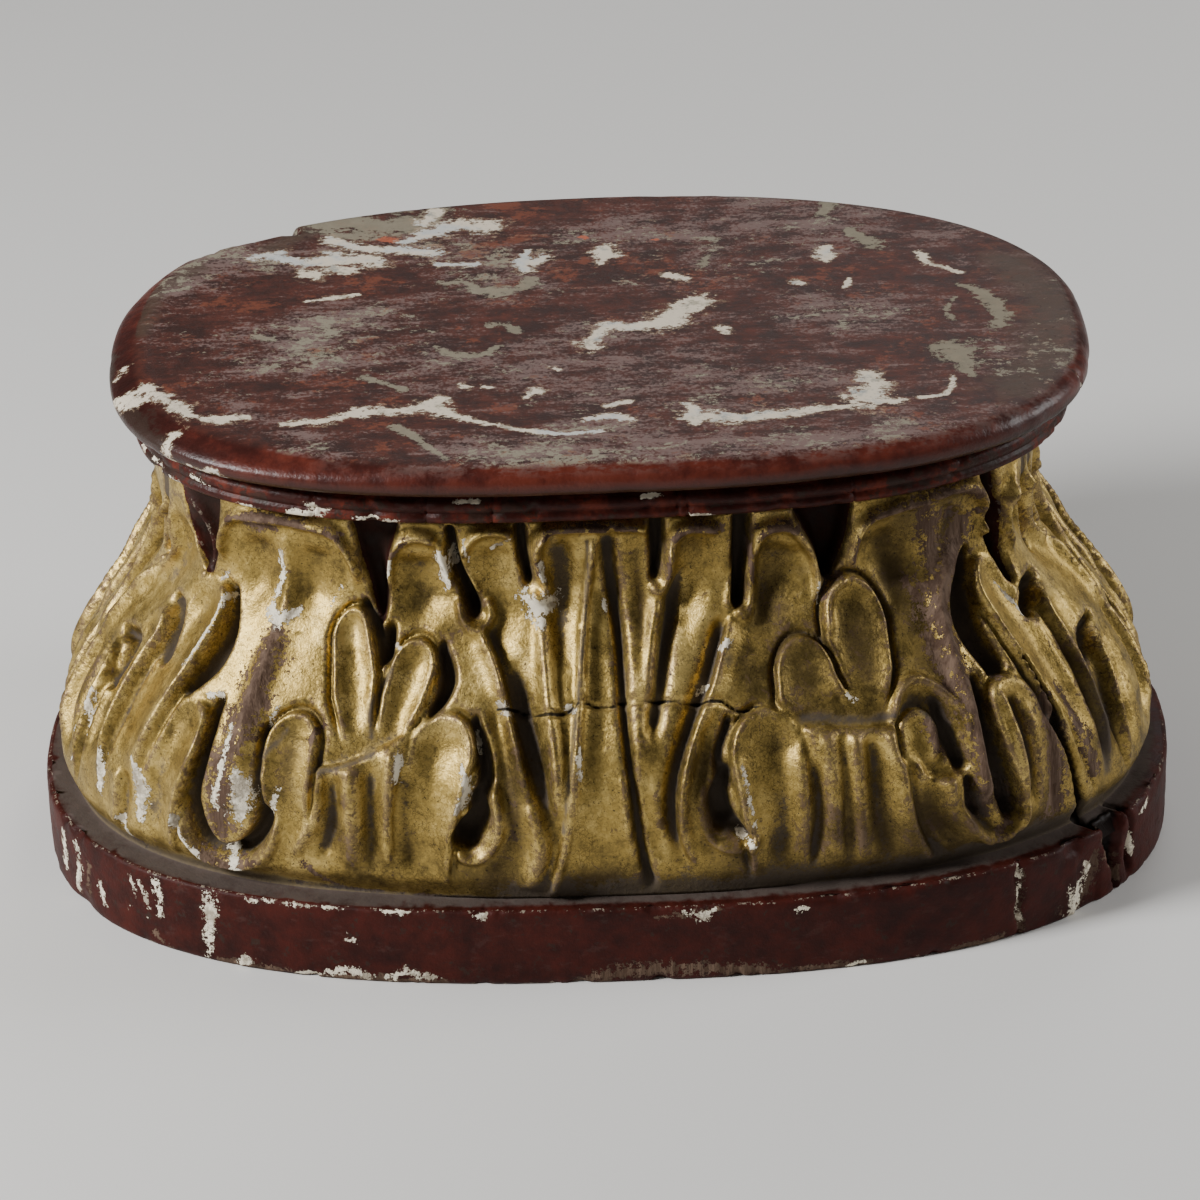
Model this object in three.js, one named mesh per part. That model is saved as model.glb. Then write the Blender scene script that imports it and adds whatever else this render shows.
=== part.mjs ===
// Carved wooden socle: an oval statue base of two pieces of wood, a carved body under a top board.
// Millimetres, +Z up. The origin is the middle of the underside and the front faces -Y.

import * as THREE from 'three';

// Heights, measured up from the underside
const plinthHeight = 30.7;
const leafTop = 164;
const filletBottom = 167.6;
const filletTop = 176;
const bodyTop = 179.5;
const jointGap = 0.3;
const totalHeight = 192;

// Plan of the plinth band: a blunt oval, widest a little in front of its middle
const basePlan = {
  halfLength: 213, front: 137, rear: 153.5, frontBluntness: 2.6, rearBluntness: 2.2,
  middle: [0, -8.25], turn: 0,
};

// Plan of the flat top of the board, which sits a little askew on the body
const boardPlan = {
  halfLength: 174.7, front: 117.5, rear: 115.4, frontBluntness: 2.8, rearBluntness: 2.3,
  middle: [1, 7.1], turn: 0.02,
};

// Insets from those plans
const leafInsetAtPlinth = 7;
const footTuck = 4.5;
const footTuckHeight = 12;
const neckInset = 17;
const filletInset = 2.5;
const bodyTopInset = 6;

// The hollow of the leaf sheet between plinth and neck. At the two ends it starts lower and reaches
// the upright neck sooner than across the front.
const frontCove = { foot: 58, top: 141, ease: 1.25, inset: 12, shift: 0 };
const endCove = { foot: 33, top: 128, ease: 1.3, inset: 11.8, shift: -2.6 };
const coveChange = { from: 150, over: 90 };

// The rounded edge of the board, as [outset from its flat top, height above its underside]
const boardEdge = [[-3, 0], [2.6, 1], [4.9, 3.6], [5, 6.6], [3.6, 9.8], [0, 12.2]];

// How finely the two skins are faceted
const bodyColumns = 172;
const leafRows = 19;
const boardColumns = 80;
const frontCrowding = 0.3;

// How boldly the carving stands out from its sheet, and how wide its steep edges are
const reliefGain = 1.6;
const carvedEdge = 3;
const softening = 1.5;

function smooth(t) {
  const clamped = Math.min(Math.max(t, 0), 1);
  return clamped * clamped * (3 - 2 * clamped);
}

function mix(a, b, t) {
  return a + (b - a) * t;
}

// A superellipse with its own depth and bluntness in front of and behind its widest line
function planPoint(plan, angle, inset) {
  const inFront = Math.sin(angle) < 0;
  const power = 2 / (inFront ? plan.frontBluntness : plan.rearBluntness);
  const depth = (inFront ? plan.front : plan.rear) - inset;
  const x = Math.sign(Math.cos(angle)) * Math.abs(Math.cos(angle)) ** power * (plan.halfLength - inset);
  const y = Math.sign(Math.sin(angle)) * Math.abs(Math.sin(angle)) ** power * depth;
  const point = new THREE.Vector2(x, y).rotateAround(new THREE.Vector2(), plan.turn);
  return point.add(new THREE.Vector2(...plan.middle));
}

// Distance round the base against plan angle, counted from the middle of the front, right positive
const roundTable = [];
let roundLength = 0;
for (let step = 0, last = null; step <= 2880; step += 1) {
  const angle = -1.5 * Math.PI + (step / 2880) * 2 * Math.PI;
  const point = planPoint(basePlan, angle, leafInsetAtPlinth + 3);
  if (last) roundLength += point.distanceTo(last);
  roundTable.push({ angle, along: roundLength });
  last = point;
}
const frontMiddle = roundTable.find((entry) => entry.angle >= -Math.PI / 2).along;
const rightEnd = roundTable.find((entry) => entry.angle >= 0).along - frontMiddle;

function angleAt(along) {
  const target = along + frontMiddle;
  let low = 0;
  let high = roundTable.length - 1;
  while (high - low > 1) {
    const middle = (low + high) >> 1;
    if (roundTable[middle].along > target) high = middle;
    else low = middle;
  }
  const span = roundTable[high].along - roundTable[low].along;
  return mix(roundTable[low].angle, roundTable[high].angle, (target - roundTable[low].along) / span);
}

// The smooth sheet that the leaves are carved in: upright above the plinth, then a cove up to the neck
function covePoint(along, height, cove) {
  const angle = angleAt(along);
  const tuck = footTuck * (1 - smooth((height - plinthHeight) / footTuckHeight));
  const rise = Math.min(Math.max(0, (height - cove.foot) / (cove.top - cove.foot)), 1);
  const lower = planPoint(basePlan, angle, leafInsetAtPlinth + tuck);
  const upper = planPoint(boardPlan, angle, cove.inset).add(new THREE.Vector2(cove.shift, 0));
  return lower.lerp(upper, smooth(rise ** cove.ease));
}

function sheetPoint(along, height) {
  const toEnd = smooth((Math.abs(along) - coveChange.from) / coveChange.over);
  const plan = covePoint(along, height, frontCove).lerp(covePoint(along, height, endCove), toEnd);
  return new THREE.Vector3(plan.x, plan.y, height);
}

function sheetNormal(along, height) {
  const across = sheetPoint(along + 1, height).sub(sheetPoint(along - 1, height));
  const up = sheetPoint(along, height + 1).sub(sheetPoint(along, height - 1));
  return across.cross(up).normalize();
}

// Carving strokes, each laid along a spine of three points [along, height] and painted in order.
// Depths are measured outward from the sheet.
const strokes = [];

function spineOf(start, via, end) {
  const bend = [0, 1].map((k) => 2 * via[k] - (start[k] + end[k]) / 2);
  const [a, b, c] = [start, bend, end].map((p) => new THREE.Vector2(...p));
  return new THREE.QuadraticBezierCurve(a, b, c).getPoints(8);
}

function nearest(spine, along, height) {
  let best = { distance: Infinity, t: 0 };
  for (let k = 0; k + 1 < spine.length; k += 1) {
    const [a, b] = [spine[k], spine[k + 1]];
    const [dx, dy] = [b.x - a.x, b.y - a.y];
    const raw = ((along - a.x) * dx + (height - a.y) * dy) / (dx * dx + dy * dy);
    const part = Math.min(Math.max(raw, 0), 1);
    const distance = Math.hypot(along - a.x - part * dx, height - a.y - part * dy);
    if (distance < best.distance) best = { distance, t: (k + part) / (spine.length - 1) };
  }
  return best;
}

// A rounded rib, or with a negative height a rounded flute, fading out at its two ends
function rib(start, via, end, width, height) {
  const spine = spineOf(start, via, end);
  strokes.push((along, up, depth) => {
    const { distance, t } = nearest(spine, along, up);
    const fade = smooth(6 * t) * smooth(6 * (1 - t));
    return depth + height * fade * Math.exp(-((distance / width) ** 2));
  });
}

// A steep-sided hollow cut down to its depth: a slot, an eye hole or the ground between leaves
function hollow(start, via, end, startWidth, endWidth, cut) {
  const spine = spineOf(start, via, end);
  strokes.push((along, up, depth) => {
    const { distance, t } = nearest(spine, along, up);
    const inside = smooth(0.5 + (mix(startWidth, endWidth, t) - distance) / carvedEdge / 2);
    return mix(depth, Math.min(depth, -cut), inside);
  });
}

// A leaf lobe with a round tip: a narrow moat round it, a raised rim and a scooped middle
const moatWidth = 3;
const moatDepth = 5;
function lobe(root, via, tip, rootWidth, tipWidth, lift = 2, scoop = 3.6) {
  const spine = spineOf(root, via, tip);
  strokes.push((along, up, depth) => {
    const { distance, t } = nearest(spine, along, up);
    const width = mix(rootWidth, tipWidth, t);
    const open = smooth(3 * t);
    const moat = open * smooth(0.5 + (width + moatWidth - distance) / carvedEdge / 2);
    const inside = smooth(0.5 + (width - distance) / carvedEdge / 2);
    const across = Math.min(distance / width, 1);
    const face = mix(depth, lift - scoop * (1 - across ** 2), open);
    return mix(mix(depth, -moatDepth, moat), face, inside);
  });
}

// One half of a big leaf: side is 1 for the half to its right and -1 for the half to its left.
// Offsets are measured from the middle of the leaf.
const halfLeafWidth = 89;
function halfLeaf(middle, side) {
  const at = (offset, height) => [middle + side * offset, height];
  rib(at(5, 160), at(6, 105), at(17, 31), 2.4, 2.6);
  rib(at(11, 150), at(13, 100), at(24, 40), 4, 1.2);
  rib(at(26, 134), at(21, 105), at(19, 55), 3.5, -2.6);
  rib(at(48, 126), at(37, 103), at(27, 78), 3.2, 2.6);
  rib(at(29, 86), at(24, 66), at(33, 40), 3.2, 2.4);
  rib(at(34, 148), at(31, 125), at(26, 100), 5, -2.2);
  rib(at(68, 146), at(58, 130), at(46, 112), 7, -2.6);
  hollow(at(24, 158), at(22, 149), at(20, 140), 3.6, 2, 8);
  hollow(at(58, 157), at(56, 145), at(52, 132), 3.4, 3.2, 8);
  rib(at(26, 152), at(27, 142), at(22, 134), 1.9, 2.4);
  rib(at(63, 152), at(61, 138), at(51, 126), 1.9, 2.4);
  rib(at(3, 160), at(14, 162), at(22, 154), 2.4, 3);
  rib(at(27, 150), at(37, 162), at(52, 156), 2.4, 3);
  rib(at(63, 148), at(75, 163), at(halfLeafWidth, 146), 2.6, 3);
  lobe(at(64, 34), at(66, 60), at(61, 86), 12, 12, 1.5, 3.4);
  hollow(at(46, 92), at(41, 78), at(45, 62), 2, 4.4, 9);
  rib(at(36, 76), at(38, 55), at(52, 51), 2.6, 2.4);
}

// The corner leaf beside it: a rib down to a U-shaped bulb, and two long lobes on its outer side
function cornerLeaf(middle, side) {
  const at = (offset, height) => [middle + side * offset, height];
  rib(at(-36, 150), at(-8, 164), at(30, 151), 2.6, 3);
  rib(at(-18, 142), at(-16, 128), at(-12, 112), 8, -2.4);
  rib(at(10, 150), at(0, 118), at(-3, 70), 4, 3);
  hollow(at(16, 131), at(9, 117), at(6, 101), 3.2, 4.2, 8);
  lobe(at(40, 62), at(30, 94), at(27, 121), 9, 12);
  lobe(at(18, 44), at(17, 66), at(15, 86), 9, 11);
  hollow(at(4, 96), at(2, 80), at(6, 56), 2.2, 4, 9);
  rib(at(-16, 66), at(-1, 37), at(15, 58), 2.6, 2.2);
  lobe(at(-25, 64), at(-24, 76), at(-23, 86), 9, 11);
}

// Sprouts that fill the space between two leaves, and the flutes below them
function sprouts(outer, inner, side) {
  const at = (offset, height) => [offset, height];
  lobe(at(outer - side * 6, 92), at(outer - side * 1, 107), at(outer + side * 1, 122), 9, 12.5, 0.5);
  lobe(at(inner + side * 1, 92), at(inner, 101), at(inner, 108), 10, 11.5, 0, 2);
  for (const place of [0, 12, 26]) {
    const top = inner + side * (place + 3);
    rib([top, 88], [top + side, 60], [top + side * place * 0.3, 35], 3.4, 2.2);
    rib([top + side * 6, 88], [top + side * 7, 60], [top + side * (6 + place * 0.3), 35], 2.8, -2);
  }
}

// Ground left between two leaves under the fillet: a wedge that narrows downward
function groundWedge(top, foot, topWidth) {
  hollow([top, 160], [mix(top, foot, 0.4), 146], [foot, 127], topWidth, 3, 7);
}

const leafMiddle = -5;
const cornerMiddle = { left: -140, right: 135 };
const endMiddle = rightEnd;

groundWedge(-105, -95, 7);
groundWedge(93, 87, 8);
groundWedge(-188, -181, 8);
groundWedge(175, 177, 7);
cornerLeaf(cornerMiddle.left, -1);
cornerLeaf(cornerMiddle.right, 1);
sprouts(-106, -78, -1);
sprouts(98, 74, 1);
lobe([-205, 60], [-200, 85], [-195, 108], 9, 10);
lobe([203, 60], [197, 85], [192, 108], 9, 10);
for (const side of [-1, 1]) {
  halfLeaf(leafMiddle, side);
  halfLeaf(side * endMiddle, -side);
}
const intactStrokes = strokes.length;

// The long shrinkage crack at the right, from the lobes down through the ledge and the plinth band
const crackHead = 92;
const crackPath = (height) => mix(190, 163, (height / crackHead) ** 0.8);
const crackWidth = 3.2;
const crackDepth = 7;
function crackCut(along, height) {
  const open = smooth((crackHead - height) / 40);
  const away = Math.abs(along - crackPath(height)) / crackWidth;
  return crackDepth * open * Math.exp(-(away ** 2));
}

// Losses: the rib of the left corner leaf broken away, and the stepped break over the right flutes
hollow([-141, 122], [-138, 100], [-137, 82], 5, 6, 2);
hollow([-52, 78], [-54, 70], [-55, 64], 3, 3, 5);
hollow([112, 90], [120, 80], [128, 64], 5, 4, 4);

// Towards the ends the sheet is hollowed deeper, and the leaves slide down and outwards with it
function carvingShift(along, height) {
  const pulled = covePoint(along, height, frontCove);
  const place = sheetPoint(along, height);
  const depth = Math.hypot(place.x - pulled.x, place.y - pulled.y);
  const normal = sheetNormal(along, height);
  const slant = Math.min(Math.abs(normal.x / normal.y), 1.2);
  const kept = depth * (1 - smooth((Math.abs(along) - 235) / 35));
  return { along: -Math.sign(along) * slant * kept, height: 0.53 * Math.hypot(1, slant) * kept };
}

// Relief at a place round the body. The hidden rear repeats the front's leaves without its damage.
function reliefAt(along, height) {
  const behind = Math.abs(along) > rightEnd;
  const squeeze = rightEnd / (roundLength / 2 - rightEnd);
  const place = behind ? (roundLength / 2 - Math.abs(along)) * squeeze : along;
  const used = behind ? strokes.slice(0, intactStrokes) : strokes;
  const moved = behind ? { along: 0, height: 0 } : carvingShift(along, height);
  const depthAt = (dx, dz) => used.reduce((sum, stroke) => (
    stroke(place + moved.along + dx, height + moved.height + dz, sum)
  ), 0);
  const around = [[0, 0], [-1, 0], [1, 0], [0, -1], [0, 1]].map(([dx, dz]) => (
    depthAt(dx * softening, dz * softening)
  ));
  const depth = reliefGain * around.reduce((sum, value) => sum + value, 0) / around.length;
  const kept = smooth((height - plinthHeight) / 8) * smooth((leafTop + 4 - height) / 6);
  return depth * kept - (behind ? 0 : crackCut(along, height));
}

// Places round the body, closer together at the front
function columnPlaces(count) {
  return Array.from({ length: count }, (unused, k) => {
    const t = -1 + (2 * k) / count;
    return (roundLength / 2) * (t * (1 - frontCrowding) + frontCrowding * t ** 3);
  });
}

// Wraps closed rings of points, lowest first, into one skin with a fan over each end. Each four-sided
// patch is split along its shorter diagonal, so that the facets follow the carving.
function skinGeometry(rings) {
  const count = rings[0].length;
  const points = rings.flat();
  const ends = [rings[0], rings[rings.length - 1]].map((ring) => {
    const middle = ring.reduce((sum, point) => sum.add(point), new THREE.Vector3());
    return middle.multiplyScalar(1 / count);
  });
  const faces = [];
  for (let row = 0; row + 1 < rings.length; row += 1) {
    for (let k = 0; k < count; k += 1) {
      const [a, b] = [row * count + k, row * count + ((k + 1) % count)];
      const [c, d] = [b + count, a + count];
      if (points[a].distanceTo(points[c]) < points[b].distanceTo(points[d])) faces.push(a, b, c, a, c, d);
      else faces.push(a, b, d, b, c, d);
    }
  }
  const lastRow = (rings.length - 1) * count;
  for (let k = 0; k < count; k += 1) {
    const next = (k + 1) % count;
    faces.push(points.length, next, k);
    faces.push(points.length + 1, lastRow + k, lastRow + next);
  }
  const geometry = new THREE.BufferGeometry().setFromPoints([...points, ...ends]);
  geometry.setIndex(faces);
  geometry.computeVertexNormals();
  return geometry;
}

function planRing(plan, places, inset, height, cut = () => 0) {
  return places.map((along) => {
    const point = planPoint(plan, angleAt(along), inset + cut(along, height));
    return new THREE.Vector3(point.x, point.y, height);
  });
}

function carvedBody() {
  const places = columnPlaces(bodyColumns);
  const bandCut = (along, height) => crackCut(along, height) * 1.1;
  const rings = [
    planRing(basePlan, places, 0, 0, bandCut),
    planRing(basePlan, places, 0, plinthHeight, bandCut),
  ];
  for (let row = 0; row <= leafRows; row += 1) {
    const height = mix(plinthHeight, leafTop, row / leafRows);
    rings.push(places.map((along) => {
      const normal = sheetNormal(along, Math.max(height, plinthHeight + 1));
      if (row === 0) normal.setZ(0).normalize();
      return sheetPoint(along, height).addScaledVector(normal, reliefAt(along, height));
    }));
  }
  rings.push(planRing(boardPlan, places, neckInset, leafTop + 1));
  rings.push(planRing(boardPlan, places, filletInset, filletBottom));
  rings.push(planRing(boardPlan, places, filletInset - 1, filletTop));
  rings.push(planRing(boardPlan, places, bodyTopInset, bodyTop));
  return skinGeometry(rings);
}

// A chip out of the rear left edge of the board, deepest at its rear end
const chip = { from: -367, to: -424, depth: 7 };
function chipCut(along) {
  const t = (along - chip.from) / (chip.to - chip.from);
  return t > 0 && t < 1 ? chip.depth * t ** 0.8 * smooth(10 * (1 - t)) : 0;
}

// The board bulges out a little at its rear left, and its top edge is rubbed round at the front left
const bulge = { middle: -396, width: 52, out: 3.5 };
const rubbed = { from: -70, over: 80, to: -300, inset: 5 };
function edgeCut(along, rise) {
  const out = bulge.out * Math.exp(-(((along - bulge.middle) / bulge.width) ** 2));
  const fadeIn = smooth((rubbed.from - along) / rubbed.over);
  const fadeOut = 1 - smooth((rubbed.to - along) / rubbed.over);
  return rubbed.inset * fadeIn * fadeOut * smooth((rise - 5) / 7) ** 1.3 - out;
}

function topBoard() {
  const places = columnPlaces(boardColumns);
  const underside = bodyTop + jointGap;
  const thickness = totalHeight - underside;
  return skinGeometry(boardEdge.map(([outset, rise]) => {
    const high = rise / thickness;
    const cut = (along) => chipCut(along) * high + edgeCut(along, rise);
    return planRing(boardPlan, places, -outset, underside + rise, cut);
  }));
}

const gildedWood = new THREE.MeshStandardMaterial({ color: 0x9a7c3c, roughness: 0.5, metalness: 0.45 });
const redWood = new THREE.MeshStandardMaterial({ color: 0x5c261d, roughness: 0.55, metalness: 0 });

function named(name, geometry, material) {
  const mesh = new THREE.Mesh(geometry, material);
  mesh.name = name;
  return mesh;
}

const socle = new THREE.Group();
socle.add(named('carved_body', carvedBody(), gildedWood));
socle.add(named('top_board', topBoard(), redWood));

export default socle;
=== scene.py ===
# Carved wooden socle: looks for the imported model, built with numpy grids and node materials
import math

import bpy
import numpy as np
from mathutils import Matrix, Vector


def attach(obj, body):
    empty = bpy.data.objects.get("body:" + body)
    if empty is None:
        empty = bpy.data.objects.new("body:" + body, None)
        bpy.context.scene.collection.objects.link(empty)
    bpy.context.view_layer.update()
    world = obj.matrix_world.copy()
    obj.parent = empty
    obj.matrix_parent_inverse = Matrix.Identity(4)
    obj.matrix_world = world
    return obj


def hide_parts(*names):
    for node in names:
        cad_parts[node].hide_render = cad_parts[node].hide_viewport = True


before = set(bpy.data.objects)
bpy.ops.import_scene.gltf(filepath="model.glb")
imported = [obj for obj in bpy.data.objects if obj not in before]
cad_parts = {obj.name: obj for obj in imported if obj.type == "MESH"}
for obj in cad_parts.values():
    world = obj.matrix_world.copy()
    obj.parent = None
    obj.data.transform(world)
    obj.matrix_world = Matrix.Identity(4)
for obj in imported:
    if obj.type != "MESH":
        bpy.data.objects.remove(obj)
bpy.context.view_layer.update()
print("frame loaded:", sorted(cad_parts))

mm = 0.001

camera = {
    "target": (-1.0, -5.0, 81.3),  # mm
    "distance": 1739.6,
    "elevation": 28.146,  # degrees above the level
    "azimuth": -0.507,
    "roll": -1.525,
    "lens": 138.2,
}

room = {
    "floor": (0.72, 0.71, 0.69),
    "floorSize": 9.0,
    "world": (0.93, 0.91, 0.88),
    "worldPower": 0.12,
    "keyPower": 56.0,
    "keyFrom": (-1.5, -0.65, 1.14),
    "keySize": 0.5,
    "fillPower": 18.0,
    "fillFrom": (1.7, 0.1, 0.8),
    "fillSize": 0.8,
    "rearPower": 9.0,
    "rearFrom": (0.5, 1.6, 1.5),
    "rearSize": 1.0,
}


def smooth(t):
    # 3t^2 - 2t^3 between 0 and 1
    t = np.clip(t, 0.0, 1.0)
    return t * t * (3.0 - 2.0 * t)


def rising(value, start, length):
    # 0 up to start, 1 from start + length on, smooth between
    return smooth((value - start) / length)


def mix(a, b, t):
    # a where t is 0, b where t is 1, in proportion between
    return a + (b - a) * t


def wobble(x, y, z, size, seed, octaves=3):
    # value noise: random lattice values, smoothly blended, each octave half as large and half as strong
    total, strength = 0.0, 1.0
    for octave in range(octaves):
        lattice = np.random.default_rng(seed + octave).uniform(-1.0, 1.0, (32, 32, 32))
        cell = size / 2.0 ** octave
        px, py, pz = x / cell + 7.3, y / cell + 3.1, z / cell + 11.7
        ix, iy, iz = (np.floor(p).astype(int) for p in (px, py, pz))
        fx, fy, fz = smooth(px - ix), smooth(py - iy), smooth(pz - iz)
        value = 0.0
        for a in (0, 1):
            for b in (0, 1):
                for c in (0, 1):
                    weight = np.abs(1 - a - fx) * np.abs(1 - b - fy) * np.abs(1 - c - fz)
                    value = value + weight * lattice[(ix + a) % 32, (iy + b) % 32, (iz + c) % 32]
        total = total + value * strength
        strength *= 0.5
    return total


def planPoint(plan, angle, inset):
    # blunt oval: half width times sign(cos)|cos|^(2/n), half depth and n differ between front and rear
    c, s = np.cos(angle), np.sin(angle)
    blunt = np.where(s < 0, plan["frontBluntness"], plan["rearBluntness"])
    depth = np.where(s < 0, plan["front"], plan["rear"]) - inset
    x = (plan["halfLength"] - inset) * np.sign(c) * np.abs(c) ** (2 / blunt)
    y = depth * np.sign(s) * np.abs(s) ** (2 / blunt)
    t = plan["turn"]
    return (plan["middle"][0] + x * math.cos(t) - y * math.sin(t),
            plan["middle"][1] + x * math.sin(t) + y * math.cos(t))


def planTable(plan, inset):
    # running length along the oval against its angle, 0 at the front middle
    angle = np.linspace(-1.5 * math.pi, 0.5 * math.pi, 24001)
    x, y = planPoint(plan, angle, inset)
    along = np.concatenate([[0.0], np.cumsum(np.hypot(np.diff(x), np.diff(y)))])
    return angle, along - np.interp(-0.5 * math.pi, angle, along)


body = {
    "base": {"halfLength": 213.0, "front": 137.0, "rear": 153.5, "frontBluntness": 2.6,
             "rearBluntness": 2.2, "middle": (0.0, -8.25), "turn": 0.0},
    "neckPlan": {"halfLength": 174.7, "front": 117.5, "rear": 115.4, "frontBluntness": 2.8,
                 "rearBluntness": 2.3, "middle": (1.0, 7.1), "turn": 0.02},
    "plinthHeight": 30.7,
    "leafTop": 164.0,
    "top": 179.5,
    "leafInsetAtPlinth": 7.0,
    "footTuck": (2.6, 4.7),  # at the front middle, and from there round to the rear
    "footTuckHeight": 12.0,
    "frontCove": {"foot": 58.0, "top": 141.0, "ease": 1.25, "inset": 12.0, "shift": 0.0},
    "endCove": {"foot": 33.0, "top": 128.0, "ease": 1.3, "inset": 11.8, "shift": -2.6},
    "coveChange": (150.0, 90.0),  # where the front's hollow profile starts to change, and over what length
    "tuckChange": (35.0, 55.0),  # the same for the tuck of the foot
    "pullDrop": 0.53,  # how far the leaves slide down for each mm that the sheet is hollowed deeper
    "pullSlant": 1.2,  # the steepest slant that moves them outwards
    "pullEnd": (235.0, 35.0),  # where the slide starts to fade, and over what length
    "frontStep": 1.0,  # mm between columns
    "rearStep": 1.5,
    "rowStep": 1.0,
    "frontHalf": 271.0,  # running length from the front middle to an end
    "halfRound": 553.2,
    "mostTriangles": 196000,
    "boldness": 1.4,  # how strongly the painted depths are cut
    "tipsAlong": (184.0, 24.0),  # where the leaf tips by the ends start to lie flat, and over what length
    "tipsHeight": (139.0, 11.0),
    "tipsFlat": 0.96,
    "denseTo": 320,  # running length up to which the columns are dense
    "groundFold": 0.961,  # scale of the sunk ground that is repeated behind
    "filletCracks": (-72, -45, 23, 27, 96, -120),
}

tableAngle, tableAlong = planTable(body["base"], 10.0)


def angleAt(along):
    # the oval's angle at a running length, looked up in the table
    return np.interp(along, tableAlong, tableAngle)


def covePoint(along, height, cove):
    # base oval and neck oval mixed by a smooth cove, foot tucked in above the ledge
    angle = angleAt(along)
    tuck = mix(*body["footTuck"], rising(np.abs(along), *body["tuckChange"]))
    tuck = tuck * (1 - rising(height, body["plinthHeight"], body["footTuckHeight"]))
    bx, by = planPoint(body["base"], angle, body["leafInsetAtPlinth"] + tuck)
    tx, ty = planPoint(body["neckPlan"], angle, cove["inset"])
    rise = np.clip((height - cove["foot"]) / (cove["top"] - cove["foot"]), 0, 1)
    part = smooth(rise ** cove["ease"])
    return mix(bx, tx + cove["shift"], part), mix(by, ty, part)


def sheetPoint(along, height):
    # the leaf sheet: hollowed deeper towards the two ends than across the front
    toEnd = rising(np.abs(along), *body["coveChange"])
    fx, fy = covePoint(along, height, body["frontCove"])
    ex, ey = covePoint(along, height, body["endCove"])
    return mix(fx, ex, toEnd), mix(fy, ey, toEnd)


def sheetNormal(along, height):
    # cross product of the two central differences of the sheet
    h = 0.5
    ax, ay = sheetPoint(along + h, height)
    bx, by = sheetPoint(along - h, height)
    cx, cy = sheetPoint(along, height + h)
    dx, dy = sheetPoint(along, height - h)
    ux, uy = ax - bx, ay - by
    vx, vy, vz = cx - dx, cy - dy, 2 * h
    nx, ny, nz = uy * vz, -ux * vz, ux * vy - uy * vx
    length = np.sqrt(nx * nx + ny * ny + nz * nz)
    return nx / length, ny / length, nz / length


def carvingShift(along, height):
    # where the sheet is hollowed deeper by d, leaves slide out by d tan(a), down by pullDrop d / cos(a)
    fx, fy = covePoint(along, height, body["frontCove"])
    x, y = sheetPoint(along, height)
    nx, ny, nz = sheetNormal(along, height)
    slant = np.minimum(np.abs(nx) / np.maximum(np.abs(ny), 1e-6), body["pullSlant"])
    pulled = np.hypot(x - fx, y - fy) * (1 - rising(np.abs(along), *body["pullEnd"]))
    return along - np.sign(along) * slant * pulled, height + body["pullDrop"] * np.hypot(1, slant) * pulled


def spline(points, perSpan=7):
    # Catmull-Rom curve through the points, which are given as x, y, x, y and so on
    p = np.array(points, float).reshape(-1, 2)
    p = np.vstack([2 * p[0] - p[1], p, 2 * p[-1] - p[-2]])
    t = np.linspace(0, 1, perSpan, endpoint=False)[:, None]
    spans = []
    for a, b, c, d in zip(p[:-3], p[1:-2], p[2:-1], p[3:]):
        spans.append(0.5 * (2 * b + (c - a) * t + (2 * a - 5 * b + 4 * c - d) * t ** 2
                            + (3 * b - a - 3 * c + d) * t ** 3))
    return np.vstack(spans + [p[-2][None]])


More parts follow.
